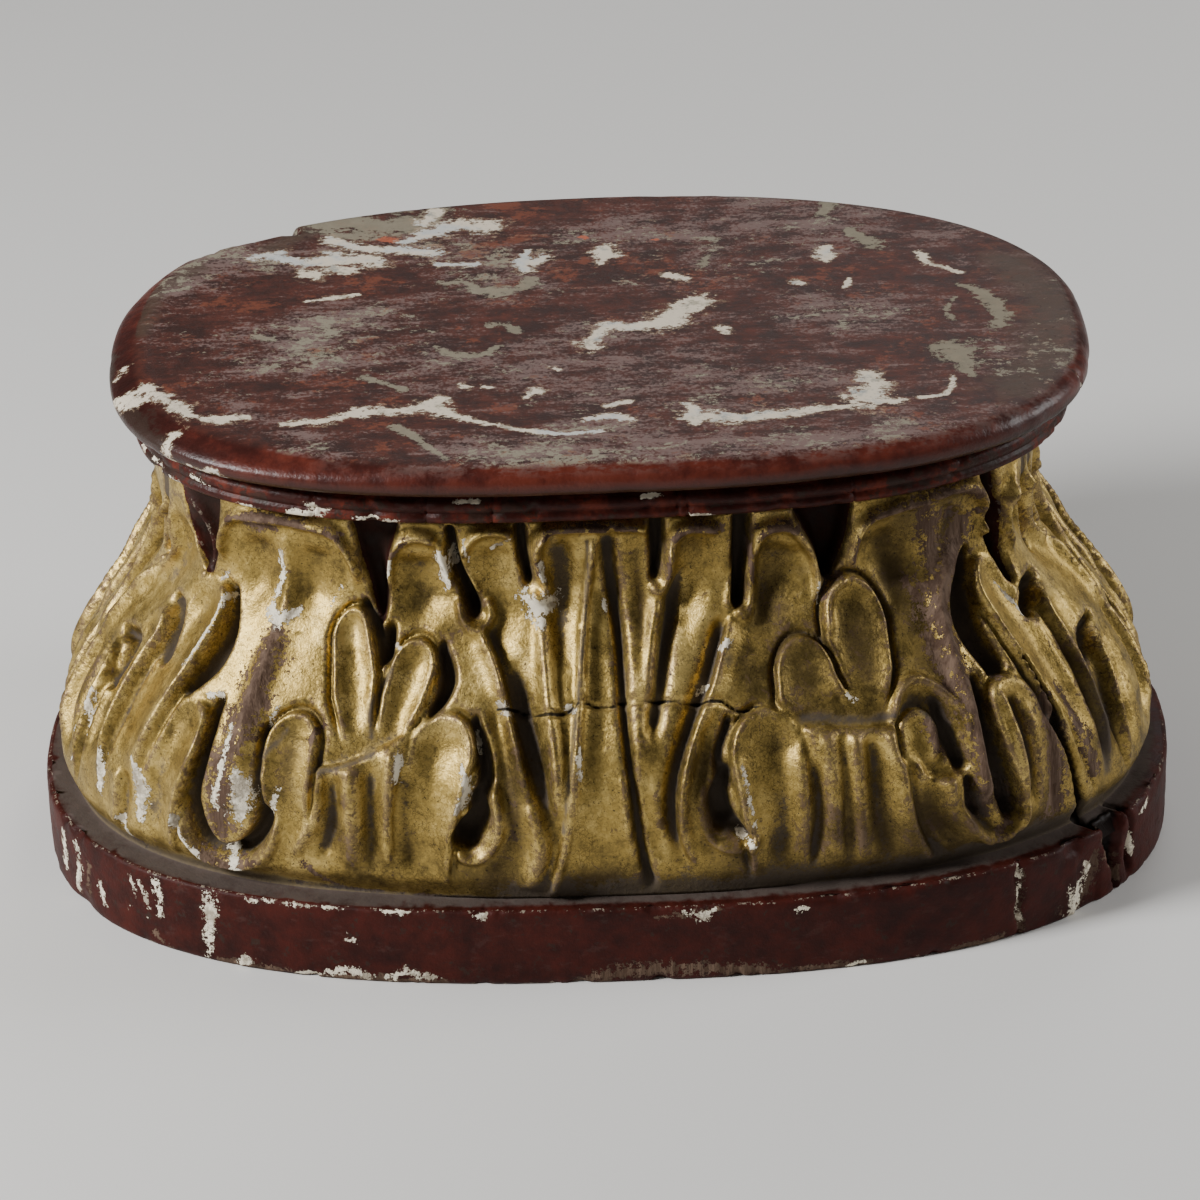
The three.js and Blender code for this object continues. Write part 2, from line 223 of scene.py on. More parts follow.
class Relief:
    # strokes painted one over another into a depth map over running length and height
    def __init__(self, along, height, depth):
        self.along, self.height, self.depth = along, height, depth
        self.edge = 1.3

    def near(self, points, reach):
        # for the cells within reach of a path: distance to it, share of its length there, and signed side
        path = spline(points)
        low, high = path.min(0) - reach, path.max(0) + reach
        inside = ((self.along > low[0]) & (self.along < high[0])
                  & (self.height > low[1]) & (self.height < high[1]))
        rows, columns = np.where(inside.any(1))[0], np.where(inside.any(0))[0]
        if len(rows) == 0 or len(columns) == 0:
            return None
        part = (slice(rows[0], rows[-1] + 1), slice(columns[0], columns[-1] + 1))
        s, z = self.along[part], self.height[part]
        best, at, side = np.full(s.shape, 1e9), np.zeros(s.shape), np.zeros(s.shape)
        spans = len(path) - 1
        for k in range(spans):
            dx, dz = path[k + 1] - path[k]
            t = np.clip(((s - path[k][0]) * dx + (z - path[k][1]) * dz) / (dx * dx + dz * dz), 0, 1)
            ex, ez = s - path[k][0] - t * dx, z - path[k][1] - t * dz
            gap = ex * ex + ez * ez
            closer = gap < best
            best = np.where(closer, gap, best)
            at = np.where(closer, (k + t) / spans, at)
            side = np.where(closer, (dx * ez - dz * ex) / math.hypot(dx, dz), side)
        return part, np.sqrt(best), at, side

    def width(self, widths, at):
        # the half width at that share of the path, even or in equal steps between the given ones
        if np.isscalar(widths):
            return np.full(at.shape, float(widths))
        return np.interp(at, np.linspace(0, 1, len(widths)), widths)

    def rib(self, points, width, height, fade=(6, 6)):
        # adds height * exp(-(d/width)^2) along the path, faded at both ends
        found = self.near(points, 3 * np.max(width))
        if found:
            part, d, at, side = found
            ends = smooth(fade[0] * at + 0.02) * smooth(fade[1] * (1 - at) + 0.02)
            self.depth[part] += height * ends * np.exp(-(d / self.width(width, at)) ** 2)

    def step(self, points, up, down, upWidth, downWidth, fade):
        # a cliff along the path: raised by up on its left, sunk by down on its right, both dying away
        found = self.near(points, 3 * max(upWidth, downWidth))
        if found:
            part, d, at, side = found
            signed = d * np.sign(side)
            ends = smooth(fade[0] * at + 0.02) * smooth(fade[1] * (1 - at) + 0.02)
            cliff = smooth(0.5 + signed / 2)
            rise = up * np.exp(-(np.maximum(signed, 0) / upWidth) ** 2)
            fall = down * np.exp(-(np.maximum(-signed, 0) / downWidth) ** 2)
            self.depth[part] += ends * (rise * cliff - fall * (1 - cliff))

    def hollow(self, points, widths, cut):
        # sinks a trough of the given half widths to -cut, with steep sides
        found = self.near(points, np.max(widths) + 3 * self.edge)
        if found:
            part, d, at, side = found
            w = np.maximum(self.width(widths, at), 0.3)
            inside = smooth(0.5 + (w - d) / self.edge / 2)
            target = -cut * (1 - 0.35 * np.clip(d / w, 0, 1) ** 2)
            old = self.depth[part]
            self.depth[part] = old + (np.minimum(old, target) - old) * inside

    def lobe(self, points, widths, lift=1.8, scoop=3.8, moat=0.9, moatDepth=4.6, opening=3.0, soft=0.0):
        # a leaf lobe open at its root: a moat round it, a lip at lift, and a bowl scoop deep inside;
        # soft from -1 to 1 is how far its right or left side melts into the sheet, leaning away from it
        found = self.near(points, np.max(widths) + moat + 6)
        if found:
            part, d, at, across = found
            w = self.width(widths, at)
            melt = abs(soft) * smooth(0.5 + np.sign(soft) * across / w * 0.9)
            opened = smooth(opening * at)
            around = opened * (1 - melt) * smooth(0.5 + (w + moat - d) / self.edge / 2)
            edge = mix(self.edge, 5.0, melt)
            inside = smooth(0.5 + (w - d) / edge / 2)
            q = np.clip(d / w, 0, 1)
            face = lift - scoop * (1 - q ** 2.0) - 0.8 * smooth((q - 0.88) / 0.12)
            face = face - 1.2 * soft * np.clip(across / w, -1, 1) - lift * 0.6 * melt
            old = self.depth[part]
            face = mix(old, face, opened)
            sunk = old + (np.minimum(old, -moatDepth) - old) * around
            self.depth[part] = sunk + (face - sunk) * inside


def carveCentre(r, side):
    # the front leaf from its midrib outwards; side -1 is the left half as seen, +1 the right half
    if side < 0:
        r.rib((-82, 152, -80, 140, -70, 124), 10, -3.0, (3, 3))
        r.rib((-48, 157, -46, 138, -37, 112), 7.5, -1.8, (4, 3))
        r.rib((-20, 158, -19, 138, -17, 108), 5, -3.0, (4, 3))
        r.rib((-6, 158, -9, 140, -11, 120, -11.5, 100, -13, 80, -16, 60, -20, 42, -23, 31),
              (1.2, 1.6, 1.7, 1.8), 3.0, (14, 60))
        r.step((-12, 82, -15, 62, -21, 38), 0.6, 1.2, 4, 3, (5, 5))
        r.rib((-16, 140, -16, 95, -27, 42), 3.2, 0.8)
        r.rib((-28, 131, -24, 108, -20, 86, -19, 66), 3.0, 3.4, (5, 4))
        r.rib((-38, 118, -31, 98, -24, 76, -22, 52), 3.2, -3.4, (4, 4))
        r.step((-27, 70, -32, 88, -38, 103, -44, 115, -52, 125), 3.4, 2.2, 4, 5, (4, 10))
        r.rib((-28, 74, -25.5, 58, -27, 46, -33, 34), 3.6, 3.2, (6, 4))
        r.rib((-44, 106, -38, 88, -36, 62), 4.2, -2.6, (5, 3))
    if side > 0:
        r.rib((8, 158, 8, 140, 9, 110), 4.5, -1.0, (4, 3))
        r.rib((35, 157, 30, 138, 21, 112), 6.5, -2.4, (4, 3))
        r.rib((70, 152, 66, 138, 50, 112), 10, -2.8, (3, 3))
        r.rib((-2, 158, -1, 140, 2, 120, 4, 100, 7, 78, 10, 52, 14, 32),
              (2.2, 1.8, 1.5, 1.3, 1.2, 1.4, 1.6), -4.2, (20, 14))
        r.rib((-5, 150, -4, 100, -4, 40), 4.5, -0.8, (3, 8))
        r.rib((4, 82, 5, 68, 6, 52), 1.2, 1.2, (4, 4))
        r.rib((5, 150, 9, 100, 19, 44), 3.2, 1.2)
        r.rib((17, 134, 14, 118, 14, 96), 3.0, 2.6, (5, 4))
        r.rib((26, 146, 20, 124, 16, 104, 14, 88), 2.8, -3.6, (4, 4))
        r.step((46, 127, 41, 117, 36, 106, 30, 95, 25, 82, 23, 68, 24, 54, 30, 40),
               3.4, 4.2, 5, 5, (8, 4))
        r.rib((12, 90, 13, 66, 17, 45), 3.2, -2.0, (4, 4))
        r.rib((36, 100, 30, 72, 37, 44), 4.6, -2.4, (5, 4))


def carveSlots(r, side):
    # the narrow slots between the tips of the front leaf, with their rolled rims
    if side < 0:
        r.hollow((-36, 161, -35, 150, -33, 140), (2.0, 1.9, 1.4), 8)
        r.rib((-24, 160, -28, 157, -29, 148, -27, 141, -25.5, 137, -28, 134, -32, 136),
              (1.5, 1.7, 1.8), 3.0, (20, 12))
        r.hollow((-66, 160, -64, 148, -60, 139, -55.5, 131), (1.4, 2.3, 2.4, 2.6), 8)
        r.rib((-61, 157, -60, 145, -53, 134), 1.3, 1.8, (8, 8))
        r.rib((-63, 135, -60, 127, -54, 123.5, -49, 126, -48.5, 130, -51, 134), 1.6, 2.6, (12, 10))
        r.rib((-71, 157, -69.5, 147, -65, 137), 1.5, 1.8, (8, 8))
        r.rib((-30, 148, -29.5, 155, -25, 160.5, -16, 161.5, 0, 161), 2.0, 3.8, (12, 40))
        r.rib((-61, 151, -56, 158, -48, 160.5, -37, 158.5), 1.8, 2.8, (12, 12))
        r.rib((-94, 134, -94, 148, -89, 155.5, -80, 158, -71, 156), 2.0, 3.2, (10, 12))
    if side > 0:
        r.hollow((16, 162, 16, 149, 15, 140), (2.8, 2.2, 1.3), 8)
        r.rib((22, 154, 21.5, 144, 20.5, 138, 17, 134.5, 13, 137), 1.8, 2.6, (8, 12))
        r.hollow((52, 162, 51, 145, 49, 130), (3.4, 3.2, 1.8), 9)
        r.rib((57, 152, 55.5, 140, 55, 130, 52, 125.5, 48, 128), 1.9, 2.8, (8, 12))
        r.rib((51, 148, 46.5, 136, 44.5, 126), 1.4, 1.5, (6, 6))
        r.rib((0, 161, 7, 161, 13, 159.5), 2.0, 3.4, (40, 12))
        r.rib((21, 146, 23, 155, 30, 159.5, 44, 158), 2.2, 3.6, (12, 8))
        r.rib((56, 146, 59, 154, 65, 157.5, 74, 156, 82, 147, 85, 136, 83, 127),
              (2.4, 2.4, 1.8, 1.3), 3.6, (12, 8))


def carveLeftCorner(r):
    # the tall leaf at the left corner: a bare midrib, three lobes and the scroll at its foot
    r.rib((-160, 153, -158, 140, -152, 122), 9, -2.2, (3, 3))
    r.rib((-128, 153, -129, 140, -131, 122), 8.5, -2.2, (3, 3))
    r.rib((-144, 159, -142, 140, -139, 120), 3.6, 1.4, (3, 6))
    r.rib((-178, 136, -176, 149, -170, 157, -156, 159, -136, 160, -119, 157.5, -111, 148,
           -107, 136), 2.0, 3.2, (10, 10))
    r.hollow((-169, 128, -163, 116, -162, 108, -166, 99), (1.4, 4.4, 4.6, 2), 6.5)
    r.lobe((-188, 60, -184, 84, -180, 104, -178, 119), (9, 12, 12.5, 11.6), lift=2.6, scoop=3.8,
           moat=1.2, soft=0.95)
    r.step((-189, 38, -186, 50, -185, 66), 1.6, 2.0, 5, 4, (5, 5))
    r.lobe((-170, 34, -166, 62, -160, 86), (8.5, 9.5, 10.6), lift=2.8, soft=0.9)
    r.hollow((-150.5, 97, -150, 80, -152, 62, -148, 48, -140, 43, -131, 47, -124, 58, -123, 70,
              -128, 92), (1.2, 2, 3, 3.2, 2.8, 2.8, 2.8, 2.6, 1.2), 7.5)
    r.rib((-158, 62, -157, 50, -150, 42, -140, 39, -128, 42, -121, 50, -118, 64),
          (1.7, 2.0, 2.0, 1.8), 2.6, (8, 8))
    r.lobe((-114, 56, -116, 76, -117, 88), (7.5, 10, 10.6), lift=2.0, scoop=2.6)
    r.rib((-140, 122, -138, 100, -136, 84, -136, 72, -136, 62), (4, 4.5, 5, 8, 8), 2.4, (10, 20))


def carveRightCorner(r):
    # the tall leaf at the right corner, with its small broken lobe
    r.rib((115, 153, 118, 138, 123, 118), 8, -2.8, (3, 3))
    r.rib((156, 153, 153, 146, 147, 128), 7, -2.0, (3, 3))
    r.rib((100, 136, 103, 148, 110, 156, 126, 158.5, 140, 159), 2.1, 3.2, (10, 30))
    r.rib((139, 160, 152, 162, 163, 159.5, 170, 152, 172, 144, 170, 136),
          (2.6, 3.2, 2.8, 1.6, 1.4), 4.2, (14, 10))
    r.hollow((161, 134, 153, 124, 148, 113, 151, 101), (1.2, 4.6, 6.4, 4.6), 7.5)
    r.lobe((179, 66, 172, 92, 168, 120), (8, 9, 11.4), lift=2.6, moat=1.2, soft=-0.8)
    r.hollow((116.5, 84, 117, 86, 117, 89), (10, 12, 12), 2)
    r.rib((103, 86, 107, 97, 115, 101, 124, 97, 129, 89, 129, 80), 1.8, 3.4, (10, 6))
    r.lobe((111, 75, 111.5, 81, 112, 86), (6, 7.6, 7.8), lift=1.2, scoop=2.4, moat=0.8, moatDepth=4)
    r.hollow((121.5, 94, 123, 84, 125.5, 73), (1.4, 2.8, 2.4), 6)
    r.lobe((155, 36, 154, 62, 151.5, 86), (7.5, 8.4, 11.8), lift=2.6, scoop=1.6, soft=-0.6)
    r.hollow((140, 98, 138, 84, 139.5, 68, 145, 50), (1.2, 2.8, 3.6, 3.0), 9)
    r.rib((150.5, 92, 151.5, 76, 154.5, 48), 1.2, -2.4, (10, 5))
    r.rib((146, 94, 148.5, 74, 149.5, 50), 1.8, 1.8, (10, 5))
    r.rib((156, 90, 156, 66, 156, 42), 3, 1.4, (6, 6))
    r.rib((158, 142, 147, 131, 137, 121, 134, 106, 133.5, 88, 134.5, 70, 133, 54),
          (3.6, 4.4, 3.8, 3.2, 3.2, 4.6, 4.2), 3.4, (5, 8))
    r.hollow((128, 66, 127.5, 58, 131, 52), (1.4, 2.2, 1.4), 5)
    r.rib((125, 66, 127, 52, 133, 43, 141, 40, 148, 44, 151, 54), 1.9, 2.8, (8, 8))


def carveLeftSprouts(r):
    # the flutes, terrace and three lobes between the front leaf and the left corner
    r.rib((-105, 82, -105, 64, -115, 44), 2.4, 2.4, (12, 4))
    r.rib((-99.5, 82, -99, 62, -104, 44), 3.4, -2.1, (6, 4))
    r.rib((-93, 84, -91.5, 62, -92, 40), 3.8, 2.4, (12, 4))
    r.rib((-86, 86, -85, 62, -86, 42), 2.8, -1.9, (6, 4))
    r.rib((-79, 90, -77.5, 64, -79, 44), 2.6, 2.2, (12, 4))
    r.step((-69, 98, -76, 93, -84, 89, -90, 85.5, -100, 82, -107, 81), 1.6, 1.5, 12, 8, (20, 20))
    r.hollow((-104, 131, -97, 124, -91, 116), (1.4, 2.0, 2.6), 6)
    r.lobe((-92, 90, -99, 107, -107.5, 122.5), (5, 8.8, 7.8), lift=2.4)
    r.hollow((-91, 123, -90.5, 120, -90, 117), (2.4, 2.8, 2.4), 8)
    r.hollow((-67, 119, -63, 109, -67, 99), (1.4, 3.4, 1.6), 7)
    r.lobe((-81, 91, -79, 103, -77.5, 112), (5, 9, 9.8), lift=2.4)
    r.lobe((-67, 34, -65.5, 62, -61, 88), (9, 11, 12.8), lift=3.0, scoop=4.4, soft=0.55)
    r.rib((-72, 86, -74, 62, -72, 40), 3.0, -1.8, (5, 4))
    r.hollow((-50, 98, -45.5, 88, -44.5, 78, -47.5, 70), (1.2, 2.0, 2.6, 2.0), 8)
    r.hollow((-47, 74, -46.5, 66, -51, 58), (2.0, 3.6, 4.6), 9)
    r.rib((-43, 80, -40, 70, -40, 59, -45, 50.5, -52, 50, -56, 56), (1.6, 1.9, 2.0, 1.7), 2.4, (8, 8))


def carveRightSprouts(r):
    # the same between the front leaf and the right corner
    r.rib((77, 92, 78.5, 66, 78, 36), 3.4, 1.4, (10, 4))
    r.rib((83, 90, 83, 62, 84, 38), 2, -1.1, (10, 4))
    r.rib((87.5, 90, 87.5, 62, 89, 36), 3.0, 1.7, (14, 4))
    r.rib((93.5, 89, 94, 62, 98, 38), 2.8, -1.7, (10, 4))
    r.rib((100.5, 89, 101.5, 66, 108, 36), 3.0, 1.7, (14, 4))
    r.step((119, 34, 113, 42, 108, 55, 105, 70, 104.5, 86), 1.8, 2.2, 3, 4, (5, 8))
    r.rib((112, 72, 114, 56, 123, 40), 2.6, -1.8, (8, 4))
    r.rib((120, 70, 121, 58, 131, 38), 3, 2.2, (14, 4))
    r.step((139, 38, 131, 48, 126, 58, 126, 70), 1.4, 2.0, 3, 4, (5, 8))
    r.step((124, 70, 113, 71, 110, 78, 107, 85, 102, 89, 80, 91, 65, 93), 1.8, 1.2, 13, 8, (20, 20))
    r.lobe((94, 95, 96, 108, 98, 121), (8, 13.2, 14.4), lift=2.6, scoop=3.0)
    r.rib((98, 134, 89, 128, 86, 116), 1.4, 1.8, (8, 8))
    r.lobe((75, 98, 74, 102, 73.5, 106), (13.6, 13.2, 12.4), lift=2.4, scoop=2.6, opening=30)
    r.lobe((60, 34, 58, 62, 56, 85), (10.5, 12.5, 14.2), lift=3.2, scoop=4.4, soft=-0.6)
    r.rib((66.5, 90, 66, 62, 64, 40), 3.2, 1.6, (6, 4))
    r.rib((72, 84, 73, 60, 70, 38), 1.8, -2.2, (6, 4))
    r.hollow((42, 96, 38, 86, 39, 76), (1.0, 1.5, 2), 5)
    r.hollow((40, 80, 37.5, 70, 39, 61), (1.8, 3.8, 4), 9)
    r.hollow((39.5, 62, 43, 58, 47.5, 55), (3.8, 2.8, 1.4), 5)
    r.rib((32, 80, 31, 66, 34, 55, 40, 51, 47, 51.5, 52, 57), (1.6, 2.1, 2.1, 1.8), 2.4, (8, 10))


def carveEnds(r):
    # the lobes that lead round to the end leaves
    r.rib((-228, 140, -219, 150, -207, 157, -200, 150, -187, 130), 1.8, 2.8, (8, 8))
    r.hollow((-199, 121, -191, 118, -186, 106), (1.0, 1.8, 2.2), 5)
    r.lobe((-207, 50, -201, 86, -199.5, 109), (8.5, 8.8, 9.6), lift=2.4, moat=1, soft=0.9)
    r.hollow((-218, 105, -208, 105, -207.5, 90), (1.2, 2.6, 1.8), 5)
    r.lobe((-230, 42, -222, 74, -220, 92), (8.5, 8.6, 9.6), lift=2.4, moat=1, soft=0.9)
    r.rib((181, 126, 184, 144, 191, 150, 200, 150, 205, 144, 204, 126), 1.8, 2.8, (8, 8))
    r.hollow((208.5, 161, 209, 142, 208.5, 128), (2.4, 3.2, 2.8), 8)
    r.rib((213, 128, 213, 144, 226, 152), 1.8, 2.4, (8, 8))
    r.hollow((179, 113, 184, 117, 193, 121), (2.4, 2.8, 0.8), 7)
    r.lobe((201, 46, 193.5, 82, 193, 109), (7, 8, 9.6), lift=2.4, moat=1, soft=-0.9)
    r.hollow((197, 93, 202, 99, 213, 101), (1.8, 2.6, 0.8), 7)
    r.lobe((216, 40, 209, 68, 210, 88), (8, 8.6, 10.2), lift=2.4, moat=1, soft=-0.9)


def carveGrounds(r):
    # the sunk red ground that shows between the heads of the leaves
    r.hollow((-100, 163, -100, 146, -96, 127), (11, 6, 2), 5)
    r.hollow((89, 164, 91, 149, 90, 138), (14, 8, 3.2), 9)
    r.hollow((-191, 164, -189, 147, -186, 133), (12, 8, 2.4), 4.5)
    r.hollow((176, 164, 178, 144, 179, 123), (5, 6.4, 2.2), 8)


def folded(along, scale):
    # the front's running length that a place on the rear repeats
    return np.where(np.abs(along) <= body["frontHalf"], along, (body["halfRound"] - np.abs(along)) * scale)


def carveLeaves(along, height):
    # front strokes, folded round to the rear, and half leaves at both ends
    repeated = folded(along, body["frontHalf"] / (body["halfRound"] - body["frontHalf"]))
    depth = np.zeros(along.shape)
    front = Relief(repeated, height, depth)
    end = Relief(body["frontHalf"] - np.abs(repeated), height, depth)
    leaves = ((front, -1), (front, 1), (end, 1))
    for leaf, side in leaves:
        carveCentre(leaf, side)
    carveGrounds(front)
    for leaf, side in leaves:
        carveSlots(leaf, side)
    for carve in (carveLeftSprouts, carveRightSprouts, carveLeftCorner, carveRightCorner, carveEnds):
        carve(front)
    depth = np.maximum(depth * body["boldness"], -11.0)
    return mix(depth, blurred(depth, 1), 0.45)


levelCrack = (-42, 101, -35, 101, -30, 99.6, -20, 99, -15, 100, -11, 102.6, -5, 101, 0, 101, 5, 102.5,
              20, 102, 33, 101, 40, 101, 47, 98, 55, 99.5)


def carveDamage(r):
    # the level crack through the front leaf and the shrinkage cracks at the right
    r.edge = 0.9
    r.rib(levelCrack, 0.8, -2.2, (20, 20))
    r.hollow((163, 100, 167, 85, 168, 75, 171, 65, 174, 55, 176, 46, 178.5, 38, 181, 28),
             (0.6, 0.9, 1.1, 1.3, 1.5, 1.7, 1.9, 2.0), 7)
    r.hollow((168, 92, 172, 80, 175, 68, 180, 55, 184, 45), (0.4, 0.6, 0.7, 0.6, 0.4), 2.5)
    r.hollow((184, 80, 188, 68, 189, 60), (0.4, 0.6, 0.4), 2.5)


def columnPlaces():
    # running length of each column, dense in front and sparse behind, closed round the rear middle
    dense, whole = body["denseTo"], 2 * body["halfRound"]
    front = np.arange(-dense, dense, body["frontStep"])
    count = int((whole - 2 * dense) / body["rearStep"])
    rear = np.linspace(dense, whole - dense, count, endpoint=False)
    rear = np.where(rear > body["halfRound"], rear - whole, rear)
    return np.concatenate([front, rear])


def blurred(field, radius):
    # box blur along rows and columns, wrapping round the oval
    k = 2 * radius + 1
    padded = np.pad(field, ((0, 0), (radius, radius)), mode="wrap")
    sums = np.cumsum(np.pad(padded, ((0, 0), (1, 0))), axis=1)
    field = (sums[:, k:] - sums[:, :-k]) / k
    padded = np.pad(field, ((radius, radius), (0, 0)), mode="edge")
    sums = np.cumsum(np.pad(padded, ((1, 0), (0, 0))), axis=0)
    return (sums[k:] - sums[:-k]) / k


def profileRows(profile, count):
    # a profile's insets and heights, one row for each point, repeated over count columns
    insets, heights = np.array(profile, float).T
    return insets[:, None] * np.ones(count), heights[:, None] * np.ones(count)


def gridMesh(name, rings, bottom, top, fields):
    # rings is rows x columns x 3 from the lowest row up; both ends close on a middle point
    rows, columns = rings.shape[:2]
    points = np.vstack([rings.reshape(-1, 3), [bottom], [top]]) * mm
    index = np.arange(rows * columns).reshape(rows, columns)
    a, b = index[:-1], np.roll(index, -1, 1)[:-1]
    c, d = np.roll(index, -1, 1)[1:], index[1:]
    flat = np.linalg.norm(rings[:-1] - np.roll(rings, -1, 1)[1:], axis=2)
    steep = np.linalg.norm(np.roll(rings, -1, 1)[:-1] - rings[1:], axis=2)
    first = (flat <= steep)[..., None]
    one = np.where(first, np.stack([a, b, c], 2), np.stack([a, b, d], 2)).reshape(-1, 3)
    two = np.where(first, np.stack([a, c, d], 2), np.stack([b, c, d], 2)).reshape(-1, 3)
    low, high = rows * columns, rows * columns + 1
    under = np.stack([np.roll(index[0], -1), index[0], np.full(columns, low)], 1)
    over = np.stack([index[-1], np.roll(index[-1], -1), np.full(columns, high)], 1)
    faces = np.vstack([one, two, under, over])
    mesh = bpy.data.meshes.new(name)
    mesh.from_pydata(points.tolist(), [], faces.tolist())
    for key, values in fields.items():
        flatValues = np.concatenate([values.reshape(-1), [values[0].mean(), values[-1].mean()]])
        layer = mesh.attributes.new(key, "FLOAT", "POINT")
        layer.data.foreach_set("value", flatValues.astype(np.float32))
    mesh.shade_smooth()
    piece = bpy.data.objects.new(name, mesh)
    bpy.context.scene.collection.objects.link(piece)
    return piece


def thinned(piece, most):
    # collapses the flattest edges until the piece has at most so many triangles
    have = len(piece.data.polygons)
    if have > most:
        bpy.context.view_layer.objects.active = piece
        piece.select_set(True)
        modifier = piece.modifiers.new("thin", "DECIMATE")
        modifier.ratio = most / have
        bpy.ops.object.modifier_apply(modifier="thin")
        piece.select_set(False)
    print(piece.name, "triangles:", have, "to", len(piece.data.polygons))
    return piece


def paintSpots(along, height, strokes, widen=1.0):
    # soft mask of the listed strokes: 1 on a stroke's path, halved with every half width away from it
    mask = np.zeros(along.shape)
    painter = Relief(along, height, mask)
    for width, *points in strokes:
        found = painter.near(points, 5 * widen * np.max(width))
        if found:
            part, d, at, side = found
            w = painter.width(width, at) * widen
            mask[part] = np.maximum(mask[part], np.clip(1.03 * 0.5 ** (d / w) - 0.03, 0, 1))
    return mask


